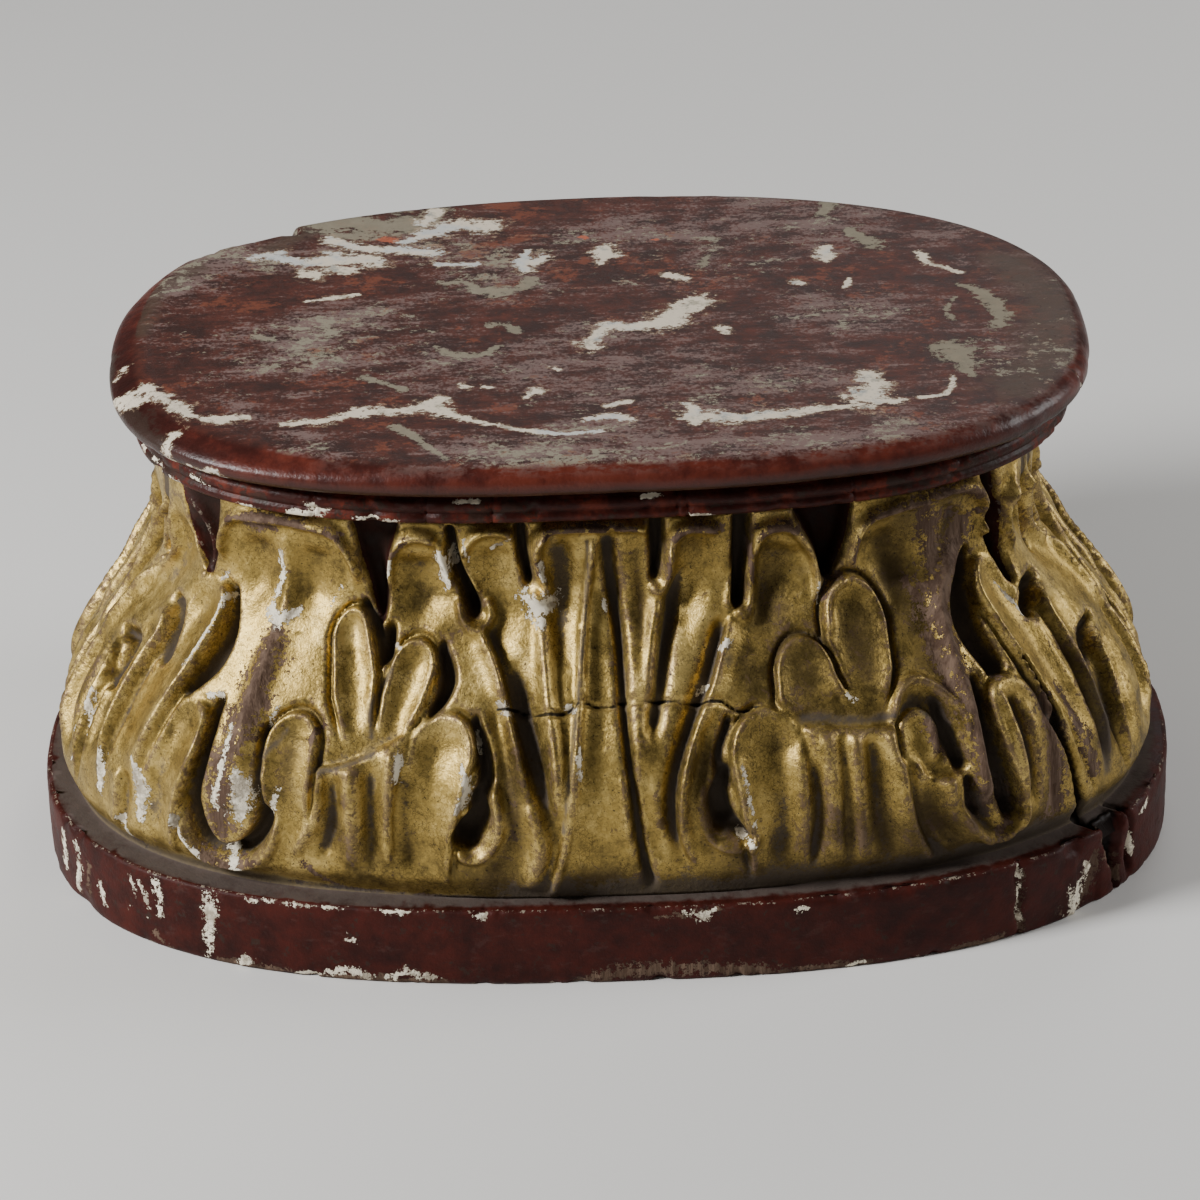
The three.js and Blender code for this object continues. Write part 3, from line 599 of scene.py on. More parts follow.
losses = {  # each stroke: its half width, or half widths along it, in mm, and then the points of its path
    "gesso": [
        (3.0, -33, 133, -28, 130, -24, 132), (1.6, -28, 128, -27, 124),
        ((1.6, 2.6, 1.2), -71, 152, -69, 146, -68, 138), (0.8, -66, 150, -64, 144), (1.0, -76, 87, -76, 79),
        (1.5, -146, 146, -145, 138, -147, 131), ((2.2, 2.0, 1.6), -147, 126, -141, 123, -134, 126),
        (1.1, -141, 90, -140, 77, -142, 62), ((1.6, 3.0, 3.2), -134, 77, -131, 70, -133, 60),
        (1.0, -158, 56, -157, 48, -150, 42), (0.9, -170, 127, -169, 116, -170, 105),
        ((0.9, 2.4, 1.2), -178, 72, -176, 60, -177, 47), (1.5, -199, 75, -197, 62, -199, 50),
        (0.8, -213, 84, -213, 67), ((0.6, 1.1, 0.6), -11, 89, -11.5, 84, -11, 80),
        ((0.8, 1.7, 0.9), -53, 84, -51, 76, -54, 68), (0.5, -49, 95, -47, 88), (1.2, -41, 102, -38, 100),
        (0.9, -16, 101, -14, 100), (1.0, 41, 116, 44, 118), (0.6, 46, 82, 48, 70, 50, 60),
        (0.6, 31, 104, 35, 106), (0.6, -3, 132, -2.5, 129), (0.9, -151, 99, -156, 98),
        (1.0, -121, 62, -119, 72), (0.9, 44, 55, 49, 53), (0.5, -48, 153, -40, 157),
        (0.5, -60, 158, -58, 148), (0.6, -178, 130, -174, 134), (0.6, -126, 100, -128, 93),
        (0.6, -90, 120, -84, 118), (0.6, 88, 100, 92, 97), (0.9, -144, 44, -134, 39),
        (0.8, -28, 148, -27, 141), (0.7, 85, 134, 84, 128), (0.6, 172, 122, 176, 112),
        (0.6, -120, 130, -116, 136), (0.6, -95, 140, -93, 148), (0.9, -231, 60, -229, 48),
        (1.0, -187, 44, -186, 36),
    ],
    "wood": [
        ((3.6, 5.6, 6.2, 5.4), -141, 122, -138, 110, -137, 98, -139, 84),
        ((5.4, 6.4, 4.4), -141, 80, -139, 68, -141, 54), (1.2, -146, 62, -141, 54, -132, 55),
        (1.8, -163, 155, -156, 156, -149, 155),
        ((6.0, 8.0, 8.0, 5.0, 4.0, 4.5, 4.0),
         158, 142, 147, 131, 137, 121, 134, 106, 133.5, 88, 134.5, 70, 133, 54),
        ((5.0, 7.0, 6.0), 138, 156, 142, 146, 141, 132), (3.0, 128, 112, 129, 98), (2.4, 150, 108, 149, 98),
        ((3.0, 4.0, 4.0), 164, 86, 164, 66, 164, 44), (2.4, 140, 160, 153, 161, 165, 157),
        ((1.0, 2.2, 2.6), 174, 90, 178, 70, 184, 50), ((2.4, 1.8), 116, 90, 119, 80),
        (1.4, -29, 150, -28, 143), (1.3, -25, 160, -10, 161.5, 8, 160.5), (1.5, 24, 157, 32, 160, 43, 158),
        (1.7, 60, 156, 68, 158, 76, 156), (1.2, -92, 150, -86, 157),
        (1.5, -172, 157, -158, 160, -136, 160, -116, 157), (0.9, 21, 150, 21, 140),
        (1.5, 110, 157, 126, 159, 140, 159), (1.0, -152, 44, -140, 39, -128, 43), (1.4, -186, 36, -180, 33),
        (1.4, 144, 60, 146, 50, 140, 42), (1.0, 55, 150, 56, 136), (1.2, -110, 44, -100, 34),
        (2.0, 152, 150, 160, 146, 168, 148), (1.6, 126, 130, 130, 120), (1.0, -106, 96, -110, 90),
        (1.0, 86, 128, 90, 134, 96, 135), (1.2, 102, 140, 104, 150), (0.6, -30, 30, -120, 33),
    ],
    "crackGrey": [
        (1.8, -104, 131, -97, 124, -91, 118), (1.2, -155, 44, -146, 38), (3.0, 150, 38, 160, 36, 171, 34),
        (2.8, 188, 84, 190, 66, 192, 48), (2.0, 44, 60, 40, 57), (1.4, -108, 80, -98, 82, -86, 87),
        (1.6, 44, 116, 43, 112), (1.5, 115, 92, 123, 88), (2.0, 130, 60, 134, 50), (1.2, -22, 40, -23, 33),
        (1.0, -151, 97, -150, 80, -152, 62, -146, 48, -134, 47), (1.6, -66, 118, -64, 106),
        (1.6, 104, 92, 90, 93, 70, 95), (1.2, -120, 92, -126, 82, -127, 70),
        (1.2, -86, 112, -90, 102, -88, 92), (0.8, -9, 155, -10, 130, -12, 105, -17, 60),
    ],
    "worn": [  # where the gold has gone brown or is rubbed thin
        ((9, 10, 8, 6), 128, 150, 124, 130, 122, 110, 126, 90), ((8, 7), 154, 150, 148, 138),
        ((10, 9), 74, 104, 74, 100), ((9, 9), 97, 118, 98, 104), (7, 160, 90, 161, 60, 158, 42),
        ((9, 10), 68, 130, 66, 116), ((8, 12, 13, 10), 56, 48, 84, 54, 110, 50, 128, 52),
        ((5, 7, 7), 184, 96, 190, 80, 192, 60), ((5, 6, 6), 33, 84, 34, 60, 50, 42),
        ((3, 4, 6), -34, 95, -34, 62, -44, 40), (5, -118, 70, -116, 84), ((4, 4), 0, 42, -8, 39),
        (6, 50, 112, 52, 104), (4, -60, 128, -64, 122), (4, -96, 60, -90, 40), (5, -228, 90, -236, 70),
        (3, 8, 148, 10, 120),
    ],
    "bandGesso": [
        ((1.3, 1.8, 1.0), -143, 29, -142, 18, -144, 2), (1.0, -140, 24, -141, 18),
        ((0.7, 0.9, 0.6), -171, 25, -168, 18, -168, 11), ((1.4, 1.0, 0.8), -164, 27, -162, 20, -163, 12),
        ((0.8, 0.6, 0.5), -176, 26, -174, 20, -177, 12), ((1.2, 1.5, 1.2), -207, 26, -206, 16, -209, 4),
        (1.0, -192, 16, -191, 8), (1.6, -218, 24, -219, 10), (0.7, -93, 17.5, -90, 17.8, -88, 16.5),
        ((1.5, 2.8, 2.8), 171, 13, 168, 7, 166, 1.5), (1.0, 173, 20, 174, 15),
        (0.6, 143, 29, 143.5, 22, 142.5, 12, 143.5, 6), ((0.8, 1.6, 0.8), 24, 29, 29, 26.5, 34, 29),
        (0.45, -115, 29.8, -104, 29.9, -92, 30), (0.45, -80, 30, -70, 29.8), (0.6, 61, 28, 65, 27),
        (1.2, 197, 22, 198, 12), (0.6, -128, 29.5, -120, 29.8), (0.9, -48, 28.5, -44, 28.8),
        (0.9, -132, 2, -126, 4), (0.7, -112, 1, -104, 2), (1.3, -100, 2.5, -92, 4.5, -86, 2),
        (1.2, -78, 2, -72, 5, -62, 2.2), (0.6, 80, 1, 86, 2), (1.0, 204, 26, 210, 28),
    ],
    "bandWood": [
        (1.5, -102, 1.0, -90, 1.5, -58, 1.0),
        ((1.0, 2.4, 2.8, 2.4, 1.2), -14, 0.5, 0, 4, 24, 5, 40, 3.5, 60, 1.0), (1.2, 64, 2, 90, 1),
        (1.2, -140, 1, -126, 2, -112, 1), (1.4, 118, 1, 136, 1.5), (2.6, 168, 2, 174, 10, 178, 20),
        (2.2, 182, 26, 186, 16, 190, 6), (1.2, 144, 26, 143, 12, 144, 2), (1.2, 152, 10, 160, 4),
        (1.2, -166, 5, -160, 1), ((0.6, 1.4, 0.6), 15, 27.5, 26, 28, 36, 29.5), (1.2, -199, 20, -200, 6),
    ],
    "filletGesso": [
        ((0.8, 1.2, 1.2), -134, 169, -128, 168.4, -118, 169.5), (1.2, -122, 173, -118, 170),
        (0.6, -104, 168.4, -94, 169, -84, 168.2), (0.8, -182, 174, -172, 172),
        (1.0, -212, 171, -204, 168.5), (0.9, -196, 169, -190, 168), (1.2, -226, 174, -222, 170),
        (0.4, 10, 176, 16, 175.8), (0.4, -60, 175.8, -50, 176), (0.5, 28, 168.5, 34, 168),
        (0.5, -156, 168.4, -146, 168),
    ],
    "filletBrown": [
        (2.6, -54, 173, -44, 172, -33, 173), (2.2, -104, 173, -98, 172), (2.4, -150, 172, -140, 171),
        ((4, 3.4, 2.0), -230, 172, -200, 171, -176, 172), ((2, 3, 3), 110, 172, 150, 172, 220, 172),
        (1.6, -84, 173, -80, 172),
    ],
    "boardCream": [
        ((1.6, 1.8, 2.0, 1.8, 1.6, 1.2), -164, -38, -156, -48, -150, -56, -144, -64, -135, -67, -125, -66),
        ((0.8, 1.6, 2.2, 1.8, 3.0, 1.6, 0.6),
         -112, -73, -98, -71, -86, -66, -70, -64, -60, -62, -52, -70, -42, -76),
        (0.8, -40, -77, -30, -82, -14, -87, 0, -86), (1.2, -4, -76, 4, -74, 11, -77),
        (1.0, 3, -66, 10, -63), (1.1, -49, -46, -46, -47), (0.8, -41, -47, -39, -48),
        ((0.8, 1.8), -26, -57, -22, -52), (0.7, -17, -32, -14, -34), (1.4, -60, -60, -56, -57),
        ((1.4, 3.0, 1.6), 32, -67, 34, -74, 33, -81),
        ((2.6, 2.2, 1.8, 1.6, 0.7), 34, -76, 50, -78, 65, -76, 80, -73, 93, -71),
        ((2.0, 3.0, 4.0), 97, -46, 98, -56, 95, -67), ((2.6, 1.4), 97, -69, 106, -69),
        (0.6, 114, -67, 122, -65, 126, -58, 127, -50), ((3.4, 3.4, 3.4), 38, 22, 32, 12, 24, 2),
        ((3.0, 2.0, 2.0, 1.4, 2.6), 24, 2, 14, 1, 4, 1, 0, -6, -3, -14), (1.6, 42, 20, 37, 24),
        (1.2, 46, -3, 48, -7), ((2.0, 3.0, 1.2), 6, 73, 5, 66, 3, 58),
        ((1.0, 2.6, 1.0), 90, 68, 88, 62, 88, 54), ((0.8, 1.8, 1.6), -24, 72, -27, 62, -25, 54),
        (1.4, -18, 66, -22, 60), ((1.6, 1.6, 2.6), -124, 76, -114, 70, -108, 66),
        ((2.4, 3.8, 3.4), -108, 67, -98, 68, -84, 68), (2.2, -108, 56, -104, 56), (1.8, -100, 60, -92, 58),
        ((1.6, 2.2, 2.6), -82, 78, -72, 76, -61, 73),
        ((1.6, 2.6, 3.4, 3.6), -72, 84, -62, 91, -52, 98, -40, 96), (1.8, -100, 88, -92, 82, -84, 78),
        ((0.6, 1.1, 0.6), -108, 31, -98, 34, -88, 37), (1.2, -58, 62, -44, 61), (1.0, 124, 60, 126, 50),
        (0.6, 126, 50, 132, 46, 138, 40), (1.6, 28, 46, 35, 42), (2.0, -64, 102, -60, 110),
        (1.6, -128, 74, -118, 78), (1.0, 75, 36, 78, 34), (0.6, 94, 30, 96, 38),
    ],
    "boardOlive": [
        ((1.4, 3.6, 3.4, 1.0), 122, -25, 131, -25, 132, -38, 134, -50), (3.4, 128, -30, 130, -34),
        ((0.8, 1.6, 2.4, 2.0, 2.4), 136, 30, 142, 24, 147, 14, 149, 4, 147, -8),
        (0.8, 134, 18, 130, 8, 131, -2),
        ((1.8, 2.4, 2.0, 2.2, 2.2, 1.4), -24, 46, -24, 40, -32, 35, -42, 36, -48, 44, -56, 44),
        ((4, 6, 6, 5), -108, 104, -90, 102, -72, 100, -60, 106), (3.4, -96, 92, -84, 92),
        ((1.2, 2.0, 2.8), 98, 84, 102, 76, 106, 70),
        ((1.0, 1.4, 1.2, 0.8), -58, -12, -52, -19, -42, -20, -36, -13), (1.2, -38, 6, -32, 5, -29, -1),
        (1.2, -85, -36, -76, -42, -69, -48), (1.4, 42, 54, 44, 62), (1.0, -160, 44, -152, 47),
        (1.6, -124, 2, -120, 0), ((1.4, 1.0, 0.8), -72, -78, -64, -88, -54, -104), (2.0, 90, 100, 94, 112),
    ],
    "boardScuff": [
        ((7, 8, 5), 8, -92, 22, -96, 44, -98), ((14, 18, 20, 16), -60, -20, -40, -30, 0, -30, 60, -20),
        ((16, 14, 10), 60, -46, 40, -44, 0, -50), (6, -104, 0, -110, -8), (8, -90, 20, -100, 14),
        ((8, 12, 10), 50, 6, 80, 4, 104, 6), (7, 0, -4, -14, 4), ((6, 8), -130, -60, -100, -88),
        ((10, 14, 12), 10, 100, 60, 96, 110, 84), ((8, 6), -140, 70, -160, 40), (5, 100, -94, 70, -100),
        (5, -60, -96, -20, -100), (9, 140, 50, 128, 78),
    ],
    "boardOlder": [  # the duller olive brown rim and the chip
        ((12, 12, 12, 10), 150, -60, 164, -30, 168, 10, 156, 50), (5, -168, 10, -166, 40, -150, 66),
        (5, -122, 82, -108, 98),
    ],
    "boardOrange": [
        (1.6, -79, 87, -74, 85), (0.7, -4, 84, -2, 83), (0.6, 22, 78, 25, 79),
    ],
    "rimCream": [  # running length on the board's rim and height above its underside
        ((1.8, 2.2, 1.6), -206, 5, -200, 8, -192, 10.5), ((1.8, 2.0, 1.4), -162, 8.6, -161, 5, -159.5, 1.5),
        ((0.5, 0.8, 1.6, 0.8), -152, 2.4, -145, 1.8, -140, 3.8, -136, 1.6), (0.5, -188, 2, -176, 1),
        (1.2, -214, 3, -209, 1), (0.8, -224, 10, -218, 9), (0.4, 190, 9, 191, 4),
    ],
    "rimBrown": [
        ((3.4, 3.8, 3.0), -200, 8, -182, 7, -165, 6), (3.0, -212, 4, -240, 6), (0.6, 190, 10, 191, 1),
        (1.4, 150, 2, 190, 3, 230, 3),
    ],
}

print("carving the body")
columns = columnPlaces()
leafHeights = np.arange(body["plinthHeight"] + 0.4, body["leafTop"] - 0.3, body["rowStep"])
bandProfile = [(14.0, 0.0), (2.2, 0.0), (0.6, 0.35), (0.1, 1.4)]  # inset, height
bandProfile += [(0.0, h) for h in np.arange(3.0, 28.6, 1.35)]
bandProfile += [(0.1, 29.3), (0.5, 30.2), (1.4, 30.7)]
ledgeInsets = np.arange(2.6, 11.2, 1.2)
neckProfile = [(14.5, 164.0), (16.6, 164.4), (17.0, 165.4), (16.6, 166.6), (12.0, 167.3), (5.0, 167.5),
               (3.0, 167.7), (2.4, 168.3), (2.2, 169.4), (2.4, 170.5), (3.2, 171.1), (3.3, 171.6),
               (2.6, 172.2), (2.4, 173.4), (2.6, 175.0), (3.4, 176.0), (5.4, 177.2), (6.0, 178.4),
               (6.0, 179.5), (14.0, 179.5)]

angles = angleAt(columns)
leafAlong, leafHeight = np.meshgrid(columns, leafHeights)
readAlong, readHeight = carvingShift(leafAlong, leafHeight)
leafDepth = carveLeaves(readAlong, readHeight)
cleanDepth = leafDepth.copy()
carveDamage(Relief(readAlong, readHeight, leafDepth))
x, y = sheetPoint(leafAlong, leafHeight)
nx, ny, nz = sheetNormal(leafAlong, leafHeight)
hand = wobble(x, y, leafHeight, 14.0, 11) * 0.35 + wobble(x, y, leafHeight, 4.0, 21, 2) * 0.12
footFade = rising(leafHeight, body["plinthHeight"], 7.0) * smooth((body["leafTop"] - leafHeight) / 3.0)
tips = rising(np.abs(leafAlong), *body["tipsAlong"]) * rising(leafHeight, *body["tipsHeight"])
tipFade = 1 - body["tipsFlat"] * tips
stand = (leafDepth * mix(0.25, 1.0, footFade) + hand * footFade) * tipFade
leafRings = np.stack([x + nx * stand, y + ny * stand, leafHeight + nz * stand * footFade], 2)
leafRings[..., 2] = np.clip(leafRings[..., 2], body["plinthHeight"] + 0.2, body["leafTop"] - 0.2)


band = {  # damage of the plinth band: running lengths and depths in mm
    "crack": (188.0, 180.5),  # place of the open crack at the bottom and at the top edge
    "wedgeWidth": (1.6, 13.0),
    "wedgeDepth": 6.5,
    "split": 196.5,
    "splitDepth": 5.0,
    "fibre": 143.0,
    "fibreDepth": 1.3,
    "flake": (144.5, 166.0),
    "flakeStands": 0.78,
    "lost": (167.0, 178.0),
    "lostDepth": 0.9,
    "notchDepth": 2.6,
    "leftChip": -205.0,
    "leftChipDepth": 1.4,
    "ledgeWedge": (180.0, 193.0),
    "ledgeWedgeDepth": 6.0,
    "ledgeCrack": 180.8,
    "ledgeSplitDepth": 3.0,
}


def bell(offset, width):
    # 1 at the middle, exp(-(offset / width)^2) away from it
    return np.exp(-(offset / width) ** 2)


def bandCut(along, height):
    # how far the open crack, its wedge, the splits and the lost flakes sink the band
    up = height / body["plinthHeight"]
    past = along - mix(*band["crack"], smooth(up)) - 0.5 * np.sin(height * 0.7)
    beyond = past - mix(*band["wedgeWidth"], up ** 1.6)
    opening = smooth(past / 0.9 + 0.5) * (1 - smooth(beyond / 1.2 + 0.5))
    wedge = band["wedgeDepth"] * opening * mix(0.9, 0.75, up)
    split = bell(along - band["split"] - 1.2 * np.sin(height * 0.33), mix(1.6, 0.8, up)) * smooth(up * 4)
    fibre = bell(along - band["fibre"] - 0.8 * np.sin(height * 0.45), 0.9)
    (flakeFrom, flakeTo), (lostFrom, lostTo) = band["flake"], band["lost"]
    flake = rising(along, flakeFrom, 1.5) - rising(along, flakeTo, 2.5)
    lost = (rising(along, lostFrom, 2.0) - rising(along, lostTo, 3.0)) * smooth((24 - height) / 6)
    notch = rising(height, 24.5, 3.0) * bell(along - flakeTo, 4.5)
    leftChip = smooth((9.0 - height) / 6.0) * bell(along - band["leftChip"], 6.0)
    return (wedge + band["splitDepth"] * split + band["fibreDepth"] * fibre - band["flakeStands"] * flake
            + band["lostDepth"] * lost + band["notchDepth"] * notch + band["leftChipDepth"] * leftChip)


bandInset, bandHeight = profileRows(bandProfile, len(columns))
bandAlong = np.ones((len(bandProfile), 1)) * columns
px, py = planPoint(body["base"], angles, 0.0)
grain = wobble(px, py, bandHeight * 3, 40.0, 31) * 0.25 + wobble(px, py, bandHeight, 6.0, 33, 2) * 0.12
edgeRound = bell(bandHeight, 2.2) + bell(body["plinthHeight"] - bandHeight, 1.6)
chips = np.clip(wobble(px, py, bandHeight, 9.0, 37) - 0.45, 0, 1) * 3.0 * edgeRound
sink = np.clip(bandCut(bandAlong, bandHeight) + chips + 0.5 + grain, 0.0, 9.0) * (bandInset < 10)
bx, by = planPoint(body["base"], angles, bandInset + sink)
bandRings = np.stack([bx, by, bandHeight], 2)

ledgeAlong = np.ones((len(ledgeInsets), 1)) * columns
lx, ly = planPoint(body["base"], angles, ledgeInsets[:, None] * np.ones(len(columns)))
ledgeDip = wobble(lx, ly, lx * 0, 12.0, 41) * 0.22
wedgeFrom, wedgeTo = band["ledgeWedge"]
wedgePart = smooth((ledgeAlong - wedgeFrom) / 0.9 + 0.5) * (1 - smooth((ledgeAlong - wedgeTo) / 1.2 + 0.5))
ledgeReach = smooth((10.5 - ledgeInsets[:, None]) / 4.0)
ledgeCrack = (band["ledgeWedgeDepth"] * wedgePart * ledgeReach
              + band["splitDepth"] * bell(ledgeAlong - band["ledgeCrack"], 1.5)
              + band["ledgeSplitDepth"] * bell(ledgeAlong - band["split"], 1.0))
ledgeDust = smooth((ledgeInsets[:, None] - mix(0.6, 3.2, rising(ledgeAlong, -90, 60))) / 3.0)
ledgeRings = np.stack([lx, ly, body["plinthHeight"] + np.clip(ledgeDip, -0.5, 0.3) - ledgeCrack], 2)

neckInset, neckHeight = profileRows(neckProfile, len(columns))
neckAlong = np.ones((len(neckProfile), 1)) * columns
qx, qy = planPoint(body["neckPlan"], angles, 4.0)
onFillet = rising(neckHeight, 167.0, 1.0) * (neckHeight < 178.0)
filletWear = (np.clip(wobble(qx, qy, neckHeight, 11.0, 51) - 0.4, 0, 1) * 2.2
              + wobble(qx, qy, neckHeight, 30.0, 52) * 0.3 + 0.2) * onFillet
filletCracks = sum(1.4 * bell(neckAlong - place, 0.5) for place in body["filletCracks"])
filletSink = np.clip(filletWear + filletCracks * onFillet, 0, 4)
neckX, neckY = planPoint(body["neckPlan"], angles, neckInset + filletSink)
neckRings = np.stack([neckX, neckY, neckHeight], 2)

rings = np.concatenate([bandRings, ledgeRings, leafRings, neckRings])
rowCounts = [len(part) for part in (bandRings, ledgeRings, leafRings, neckRings)]


def stacked(band, ledge, leaf, neck):
    # one field over all rows of the body, from a value or an array for each part
    parts = zip((band, ledge, leaf, neck), rowCounts)
    return np.concatenate([part * np.ones((rows, len(columns))) for part, rows in parts])


wide, fine = blurred(cleanDepth, 7), blurred(cleanDepth, 2)
cavity = np.clip((wide - cleanDepth) / 3.4, 0, 1) * 0.8 + np.clip((-cleanDepth - 1.5) / 8.0, 0, 1) * 0.7
crest = np.clip((cleanDepth - fine) / 0.35, 0, 1)
gesso, wood, grey, worn = (paintSpots(readAlong, readHeight, losses[key])
                           for key in ("gesso", "wood", "crackGrey", "worn"))
sunkGround = np.zeros(leafAlong.shape)
carveGrounds(Relief(folded(readAlong, body["groundFold"]), readHeight, sunkGround))
ground = np.clip(-sunkGround / 4.0, 0, 1)
leftFoot = 1 - rising(leafAlong, -140, 70)
footDust = smooth((mix(34.5, 41.0, leftFoot) - leafHeight) / mix(4.5, 9.5, leftFoot))
# painted shade: the gold goes darker towards the leaves' foot, from a little left of the front middle round
# to the right
footShade = smooth((50 - leafHeight) / 17) * rising(leafAlong, -75, 50) * 0.85
openCrack = paintSpots(leafAlong, leafHeight, [((0.25, 0.45, 0.3, 0.4, 0.25), *levelCrack)])
openCrack = np.maximum(openCrack, np.clip((cleanDepth - leafDepth) / 4.0, 0, 1))
bandOpen = np.clip(bandCut(bandAlong, bandHeight) / 5.0 - 0.2, 0, 1)
fields = {
    # hollow: dark toning of the recesses, plus painted shade on the sunk ground, at the leaves' foot, on the
    # ledge under the leaves and on the neck under the board
    "hollow": stacked(0.0, 0.2, np.clip(cavity + ground * 0.5 + footShade, 0, 1), 0.1),
    "crest": stacked(edgeRound, 0.0, crest, 0.2),
    "gesso": stacked(paintSpots(bandAlong, bandHeight, losses["bandGesso"]), 0.0, gesso,
                     paintSpots(neckAlong, neckHeight, losses["filletGesso"])),
    "wood": stacked(paintSpots(bandAlong, bandHeight, losses["bandWood"]), 0.0, wood, 0.0),
    "worn": stacked(0.0, 0.0, worn, paintSpots(neckAlong, neckHeight, losses["filletBrown"])),
    "dust": stacked(0.0, ledgeDust * 0.9, np.maximum(grey, footDust), 0.0),
    "redPaint": stacked(1.0, 1.0, ground, rising(neckHeight, 164.1, 0.4)),
    "level": stacked(0.0, 0.2, 0.4, 1.0),
    "open": stacked(bandOpen, np.clip(ledgeCrack / 4.0, 0, 1), openCrack, 0.0),
}
carvedBody = gridMesh("carved_body_skin", rings, (0, -8.25, 0.0), (1.0, 7.1, body["top"]), fields)
thinned(carvedBody, body["mostTriangles"])


board = {
    "plan": body["neckPlan"],
    "underside": 179.8,
    "thickness": 12.2,
    "edge": [(4.0, 0.0), (1.0, 0.1), (-1.6, 0.5), (-3.4, 1.4), (-4.4, 2.6), (-4.95, 3.9), (-5.0, 5.4),
             (-4.9, 6.8), (-4.2, 8.4), (-3.0, 9.8), (-1.6, 10.9), (0.0, 11.7), (1.8, 12.05), (3.6, 12.2)],
    "topRings": 92,
    "columnStep": 1.3,
    "chipFrom": -320.0,
    "chipTo": -369.0,
    "chipDepth": 7.0,
    "bulgeMiddle": -345.0,
    "bulgeWidth": 45.0,
    "bulgeOut": 3.5,
    "split": 190.5,
    "splitDepth": 1.6,
    "frontWear": 5.0,  # how much further the top edge is rounded at the front left
    "mostTriangles": 190000,
}

print("shaping the board")
boardAngle, boardLength = planTable(board["plan"], 0.0)
boardRound = boardLength[-1] - boardLength[0]
boardColumns = int(boardRound / board["columnStep"])
boardAlong = np.linspace(boardLength[0], boardLength[-1], boardColumns, endpoint=False)
boardTurn = np.interp(boardAlong, boardLength, boardAngle)
edgeInset, edgeHeight = profileRows(board["edge"], len(boardTurn))
outX, outY = planPoint(board["plan"], boardTurn, 0.0)
rimWear = (np.clip(wobble(outX, outY, edgeHeight * 2, 22.0, 61) - 0.3, 0, 1) * 1.1
           + wobble(outX, outY, edgeHeight * 2, 50.0, 62) * 0.25 + 0.15) * (edgeHeight > 0.3)
rimWorn = smooth((-boardAlong - 60) / 70) * (1 - smooth((-boardAlong - 260) / 60))
rounding = board["frontWear"] * rimWorn * rising(edgeHeight, 5.0, 7.0) ** 1.3
chipNoise = wobble(boardAlong, boardAlong * 0, boardAlong * 0, 7.0, 66) * 1.4
chipPart = (boardAlong - board["chipFrom"]) / (board["chipTo"] - board["chipFrom"])
chip = board["chipDepth"] * np.clip(chipPart, 0, 1) ** 0.8 * smooth(10 * (1 - chipPart))
chip = chip + (chip > 0.8) * chipNoise
bulge = board["bulgeOut"] * bell(boardAlong - board["bulgeMiddle"], board["bulgeWidth"])
rimSplit = board["splitDepth"] * bell(boardAlong - board["split"], 0.7) * (edgeHeight > 0.3)
rimInset = edgeInset + np.clip(rimWear, 0, 2) + rounding + chip * (0.6 + edgeHeight / 24) - bulge + rimSplit
rimX, rimY = planPoint(board["plan"], boardTurn, rimInset)
rimRings = np.stack([rimX, rimY, board["underside"] + edgeHeight], 2)
share = np.linspace(1, 0, board["topRings"] + 1)[1:-1, None] ** 0.9
lastX, lastY = rimX[-1], rimY[-1]
middleX, middleY = board["plan"]["middle"]
topX = middleX + (lastX - middleX) * share
topY = middleY + (lastY - middleY) * share
topWave = (wobble(topX, topY * 3.0, topX * 0, 70.0, 71) * 0.14
           + wobble(topX, topY, topX * 0, 9.0, 73, 2) * 0.05 - 0.2)
topRings = np.stack([topX, topY, board["underside"] + board["thickness"] + np.minimum(topWave, 0)], 2)
boardRings = np.concatenate([rimRings, topRings])
boardX, boardY = boardRings[..., 0], boardRings[..., 1]
rimAlong = np.ones((len(board["edge"]), 1)) * boardAlong


def boardMark(onTop, onRim=()):
    # soft masks from strokes on the board's plan and, for the rim, on its running length and height
    top = paintSpots(boardX, boardY, losses[onTop], 1.0 if onTop in ("boardScuff", "boardOlder") else 1.5)
    if onRim:
        rim = paintSpots(rimAlong, edgeHeight, losses[onRim])
        top[:len(rim)] = np.maximum(rim, top[:len(rim)] * (edgeHeight > 11.0))
    return top


boardFields = {
    "crest": np.concatenate([bell(edgeHeight - 11.0, 1.6) * (1 - rimWorn), np.zeros(topX.shape)]),
    "onTop": np.concatenate([rising(edgeHeight, 10.9, 1.2), np.ones(topX.shape)]),
    "cream": boardMark("boardCream", "rimCream"),
    "olive": boardMark("boardOlive"),
    "scuff": boardMark("boardScuff"),
    "older": boardMark("boardOlder", "rimBrown"),
    # under: painted shade on the lower part of the board's rim
    "under": np.concatenate([bell(edgeHeight, 6.5), np.zeros(topX.shape)]),
    "orange": boardMark("boardOrange"),
}
topBoard = gridMesh("top_board_skin", boardRings, (1.0, 7.1, board["underside"]),
                    (1.0, 7.1, board["underside"] + board["thickness"] - 0.1), boardFields)
thinned(topBoard, board["mostTriangles"])


class Signal:
    # a socket that takes part in plain arithmetic by adding Math nodes
    def __init__(self, finish, socket):
        self.finish, self.socket = finish, socket

    def maths(self, operation, *values):
        # one Math node on sockets and numbers
        return self.finish.add("ShaderNodeMath", {"operation": operation}, dict(enumerate(values)))

    def most(self, other):
        return self.maths("MAXIMUM", self, other)

    def least(self, other):
        return self.maths("MINIMUM", self, other)

    def between(self, low, high):
        # 0 below low, 1 above high, smooth between
        return self.finish.add("ShaderNodeMapRange", {"interpolation_type": "SMOOTHSTEP"},
                               {"Value": self, "From Min": low, "From Max": high})


def arithmetic(operation, reflected):
    # the method behind one arithmetic sign, with the socket on its left or on its right
    if reflected:
        return lambda signal, other: signal.maths(operation, other, signal)
    return lambda signal, other: signal.maths(operation, signal, other)


